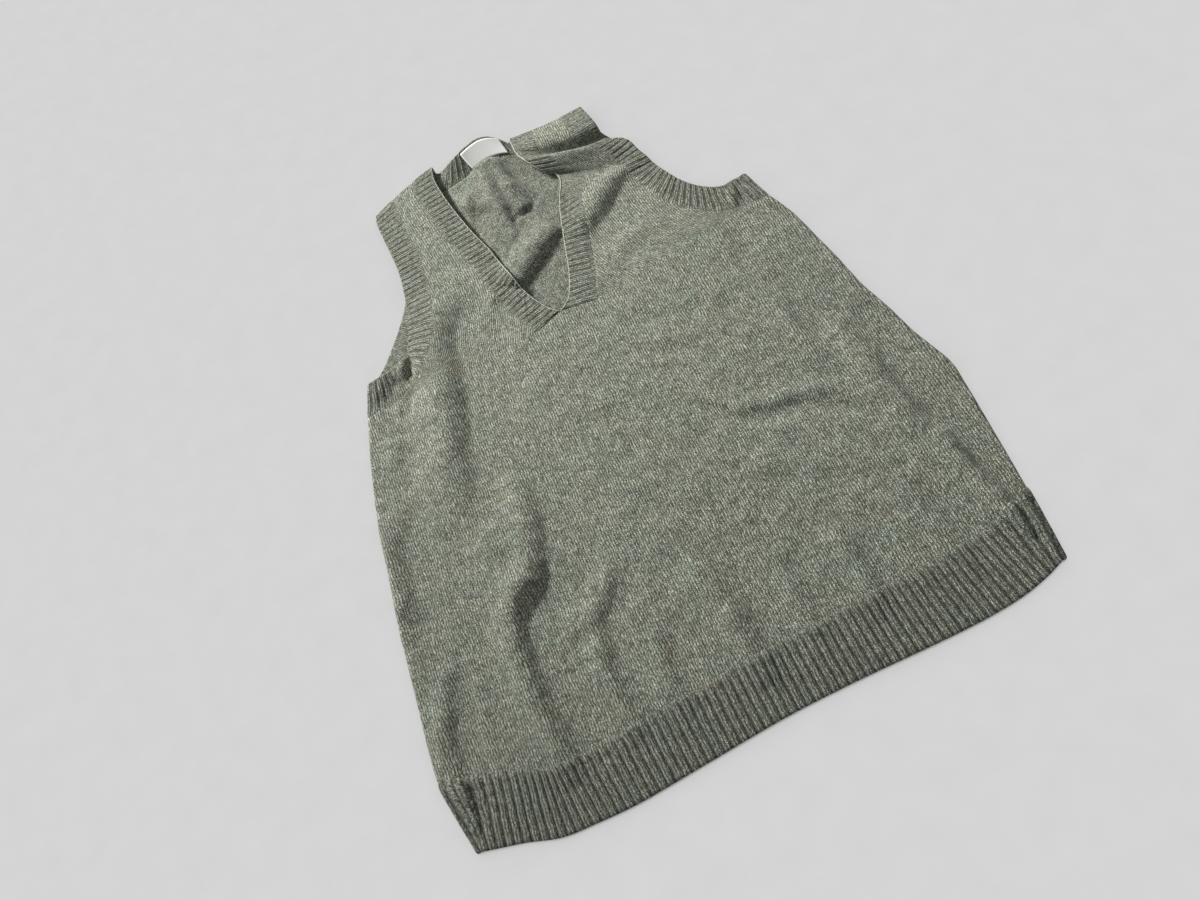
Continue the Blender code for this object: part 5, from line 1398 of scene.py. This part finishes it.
# %% The stitches
def stitches(n, purl):
    """Height of the knitting, 0 deep between stitches to 1 on top, and the map it follows."""
    cloth = n.add("UVMap", uv_map="cloth").outputs["UV"]
    wander = n.noise(cloth, 0.09, 2.0)      # so that no row of stitches is quite straight
    parts = n.add("SeparateXYZ", {"Vector": cloth})
    u = n.math("ADD", n.math("DIVIDE", parts.outputs["X"], KNIT_WALE),
               n.math("MULTIPLY", wander, 1.1))
    v = n.math("ADD", n.math("DIVIDE", parts.outputs["Y"], KNIT_COURSE),
               n.math("MULTIPLY", wander, 1.4))
    across = n.math("MULTIPLY", n.math("PINGPONG", u, 0.5), 2.0)
    slant = 0.15 if purl else 0.9
    phase = n.math("SUBTRACT", v, n.math("MULTIPLY", across, slant))
    strand = n.math("MULTIPLY_ADD", n.math("SINE", n.math("MULTIPLY", phase, math.tau)), 0.5, 0.5)
    column = n.ease(across, 0.0, 0.6, 0.55 if purl else 0.0, 1.0)
    height = n.math("MULTIPLY", column, n.math("MULTIPLY_ADD", strand, 0.45, 0.55))
    return height, cloth, u, phase


print("stitches in 10 cm:", round(100 / KNIT_WALE), "across and", round(100 / KNIT_COURSE), "up")

# %% The wool material
DARK, MID = (0.046, 0.050, 0.036), (0.150, 0.157, 0.118)
PALE, CREAM = (0.325, 0.340, 0.275), (0.590, 0.605, 0.520)
BLUISH, BROWNISH = (0.90, 1.0, 1.0, 1), (1.05, 1.0, 0.90, 1)


def wool(name, shade, purl=False, ribbed=0.0):
    """Marl wool; shade darkens it as painted shade, and ribbed is how dark the painted shade in the
    rib hollows gets.
    """
    n = Nodes(name)
    height, cloth, u, phase = stitches(n, purl)
    per_stitch = n.add("CombineXYZ", {"X": n.math("MULTIPLY", u, 2.0), "Y": phase})
    cells = n.add("TexVoronoi", {"Vector": per_stitch.outputs[0], "Scale": 1.5, "Randomness": 1.0},
                  voronoi_dimensions="2D").outputs["Color"]
    cell = n.add("SeparateColor", {"Color": cells}).outputs[0]
    fibre = n.ease(n.noise(cloth, 1.7, 3.0, {"Roughness": 0.7}), 0.35, 0.65)
    marl = n.math("ADD", n.math("MULTIPLY", cell, 0.45), n.math("MULTIPLY", fibre, 0.55))
    colour = n.ramp(marl, [(0.25, DARK), (0.46, MID), (0.65, PALE), (0.83, CREAM)])
    cloud = n.noise(cloth, 0.022, 3.0)
    colour = n.multiply(n.ease(cloud, 0.42, 0.66, 0.0, 0.6), colour, BLUISH)
    warm = n.noise(cloth, 0.05, 2.0, {"Distortion": 0.4})
    colour = n.multiply(n.ease(warm, 0.5, 0.7, 0.0, 0.4), colour, BROWNISH)
    # Painted shade: the colour is darker where the knitting is low, between stitches and columns
    depth = n.ease(height, 0.0, 0.8, 0.42, 1.14)
    # Painted shade in the ribs' hollows, read from the sheets' rib attribute
    if ribbed:
        raised = n.add("Attribute", attribute_name="rib").outputs["Fac"]
        depth = n.math("MULTIPLY", depth, n.ease(raised, 0.0, 0.75, ribbed, 1.0))
    # Random patches of lighter and darker wool, the whole scaled by shade, which is painted shade
    patch = n.noise(cloth, 0.15, 4.0, {"Roughness": 0.6})
    depth = n.math("MULTIPLY", depth, n.ease(patch, 0.32, 0.68, 0.80 * shade, 1.14 * shade))
    grey = n.add("CombineColor", {"Red": depth, "Green": depth, "Blue": depth}).outputs[0]
    fuzz = n.noise(cloth, 2.6, 3.0)
    relief = n.math("ADD", height, n.math("MULTIPLY", fuzz, 0.45))
    return n.look({"Base Color": n.multiply(1.0, colour, grey),
                   "Normal": n.bump(relief, 0.9, 0.0006),
                   "Roughness": n.ease(fuzz, 0.2, 0.8, 0.86, 0.98),
                   "Specular IOR Level": 0.15, "Sheen Weight": 0.25, "Sheen Roughness": 0.55,
                   "Sheen Tint": (0.85, 0.88, 0.78, 1)})


# Darker copies of one wool: their shade is painted shade. The hem is darkened where the lamp's
# light fades, the back inside the V where it lies low under the neck, and the bands for their deep
# ribs; the purl side of the back is also a little darker of its own.
wool_knit = wool("wool_knit", 1.0)
wool_purl = wool("wool_purl", 0.63, purl=True)
wool_rib = wool("wool_rib", 0.83, ribbed=0.32)
wool_hem = wool("wool_hem", 0.79, ribbed=0.20)

# %% Pale cast-off yarn, and the label's tape
TAPE_THREAD = 0.55        # millimetres from one thread of the tape to the next but one


def pale_yarn():
    n = Nodes("pale_yarn")
    place = n.add("TexCoord").outputs["Object"]
    fleck = n.noise(place, 900.0, 2.0, dimensions="3D")
    colour = n.ramp(fleck, [(0.35, (0.24, 0.25, 0.19)), (0.62, (0.54, 0.55, 0.46))])
    return n.look({"Base Color": colour, "Roughness": n.ease(fleck, 0.2, 0.8, 0.8, 0.95),
                   "Normal": n.bump(fleck, 0.4, 0.0002)})


def label_tape():
    n = Nodes("label_tape")
    cloth = n.add("UVMap", uv_map="cloth").outputs["UV"]
    parts = n.add("SeparateXYZ", {"Vector": cloth})
    warp, weft = (n.math("SINE", n.math("MULTIPLY", parts.outputs[axis], math.tau / TAPE_THREAD))
                  for axis in "XY")
    weave = n.math("MULTIPLY_ADD", n.math("MULTIPLY", warp, weft), 0.5, 0.5)
    colour = n.ramp(weave, [(0.0, (0.70, 0.70, 0.68)), (1.0, (0.86, 0.86, 0.84))])
    return n.look({"Base Color": colour, "Roughness": n.ease(weave, 0.0, 1.0, 0.5, 0.65),
                   "Normal": n.bump(weave, 0.3, 0.0001)})


yarn, tape = pale_yarn(), label_tape()

# %% [markdown]
# ## Putting the pieces on the model
#
# Each sheet stands for one of the imported solids, whose own solid is hidden, and gets one of the
# wool materials. The table also names the record's slot for it, the size it was cut to and the
# piece it lies on; of these only the size is used, printed beside the sheet's area. The back is
# the only piece with its purl side showing.

# %% Pieces, slots and cut sizes
cut = {
    "front_panel": (front_knit, wool_knit, "marl_knit", (0.505, 0.575), "back_panel"),
    "back_panel": (back_knit, wool_purl, "marl_knit", (0.505, 0.575), "table"),
    "front_hem_rib": (front_hem, wool_hem, "marl_rib", (0.485, 0.060), "back_hem_rib"),
    "back_hem_rib": (back_hem, wool_hem, "marl_rib", (0.485, 0.060), "table"),
    "neckband": (neck_band, wool_rib, "marl_rib", (0.620, 0.026), "back_panel"),
    "left_armhole_band": (left_band, wool_rib, "marl_rib", (0.520, 0.026), "table"),
    "right_armhole_band": (right_band, wool_rib, "marl_rib", (0.520, 0.026), "table"),
    "neck_label": (label, tape, "woven_label", (0.046, 0.021), "neckband"),
}
for node, ((piece, area), finish, slot, flat, under) in cut.items():
    piece.data.materials.append(finish)
    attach(piece, "root")
    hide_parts(node)
    print(f"{node}: cut {flat[0] * 1000:.0f} x {flat[1] * 1000:.0f} mm, {area * 1e-6:.4f} m2")

edge_chain.data.materials.append(yarn)
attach(edge_chain, "root")

# %% [markdown]
# ## Table, light and camera
#
# The vest lies on a plain pale surface. A lamp behind the neck, a little to the left and about as
# wide as a dinner tray, draws the folds: each one is pale on its far side and dark on the near one.
# Its beam is narrowed, so that it fades a little towards the hem. The rest of the light comes
# evenly from all round. The lamp shines on the vest alone and the wash on the table alone, so that
# the surface stays even and pale.

# %% Table
def pale_surface():
    n = Nodes("pale_surface")
    place = n.add("TexCoord").outputs["Object"]
    grain = n.noise(place, 40.0, 4.0, dimensions="3D")
    colour = n.ramp(grain, [(0.3, (0.655, 0.655, 0.655)), (0.7, (0.675, 0.675, 0.675))])
    return n.look({"Base Color": colour, "Roughness": 0.9, "Specular IOR Level": 0.1})


def flat_square(name, half, height):
    mesh = bpy.data.meshes.new(name)
    corners = [(x * half, y * half, height) for x, y in ((-1, -1), (1, -1), (1, 1), (-1, 1))]
    mesh.from_pydata(corners, [], [(0, 1, 2, 3)])
    return put_in_scene(name, mesh)


TABLE_HALF = 6.0          # metres
TABLE_HEIGHT = -0.0004    # a hair below the cloth, so that the two don't flicker
table_top = flat_square("table_top", TABLE_HALF, TABLE_HEIGHT)
table_top.data.materials.append(pale_surface())
print("table", 2 * TABLE_HALF, "m square")

# %% Light
LAMP_AT, LAMP_AIM = Vector((-1.01, 1.645, 1.055)), Vector((0.01, 0.10, 0.0))      # metres
LAMP_SIZE, LAMP_POWER, LAMP_BEAM = 0.42, 7.35, math.radians(50.0)
WORLD_STRENGTH, WASH_STRENGTH = 0.36, 1.985

world = bpy.data.worlds.new("even_light")
bpy.context.scene.world = world
world.use_nodes = True
background = world.node_tree.nodes["Background"].inputs
background["Color"].default_value = (1.0, 1.0, 1.0, 1)
background["Strength"].default_value = WORLD_STRENGTH


def shine_only_on(lamp, name, pieces):
    """Keeps a lamp's light to some pieces, through a collection of its own."""
    lit = bpy.data.collections.new(name)
    for piece in pieces:
        lit.objects.link(piece)
    lamp.light_linking.receiver_collection = lit


key = put_in_scene("window", bpy.data.lights.new("window", "AREA"))
key.data.shape, key.data.size, key.data.spread = "DISK", LAMP_SIZE, LAMP_BEAM
key.data.energy, key.data.color = LAMP_POWER, (1.0, 0.99, 0.97)
key.location = LAMP_AT
key.rotation_euler = (LAMP_AT - LAMP_AIM).to_track_quat("Z", "Y").to_euler()
shine_only_on(key, "lit_by_window", [row[0][0] for row in cut.values()] + [edge_chain])

wash = put_in_scene("table_wash", bpy.data.lights.new("table_wash", "SUN"))
wash.data.energy, wash.data.angle = WASH_STRENGTH, 0.5
wash.location = (0.0, 0.0, 3.0)
shine_only_on(wash, "lit_by_wash", [table_top])
print("key light", round(key.location.length, 2), "m away")

# %% Camera
CAMERA_AT = (10.937, -88.414, 685.476)    # in the tables' millimetres; then its three directions
CAMERA_RIGHT = (0.88539, -0.39692, -0.24194)
CAMERA_UP = (0.46238, 0.80553, 0.37056)
CAMERA_BACK = (0.04781, -0.43996, 0.89674)
camera = put_in_scene("camera", bpy.data.cameras.new("camera"))
camera.data.sensor_width, camera.data.lens = 36.0, 27.06
camera.data.clip_start, camera.data.clip_end = 0.01, 50.0
turn = Matrix((CAMERA_RIGHT, CAMERA_UP, CAMERA_BACK)).transposed().to_4x4()
camera.matrix_world = Matrix.Translation(to_metres(CAMERA_AT)) @ turn
bpy.context.scene.camera = camera
bpy.context.scene.view_settings.view_transform = "Standard"
print("camera", [round(v, 3) for v in camera.location])
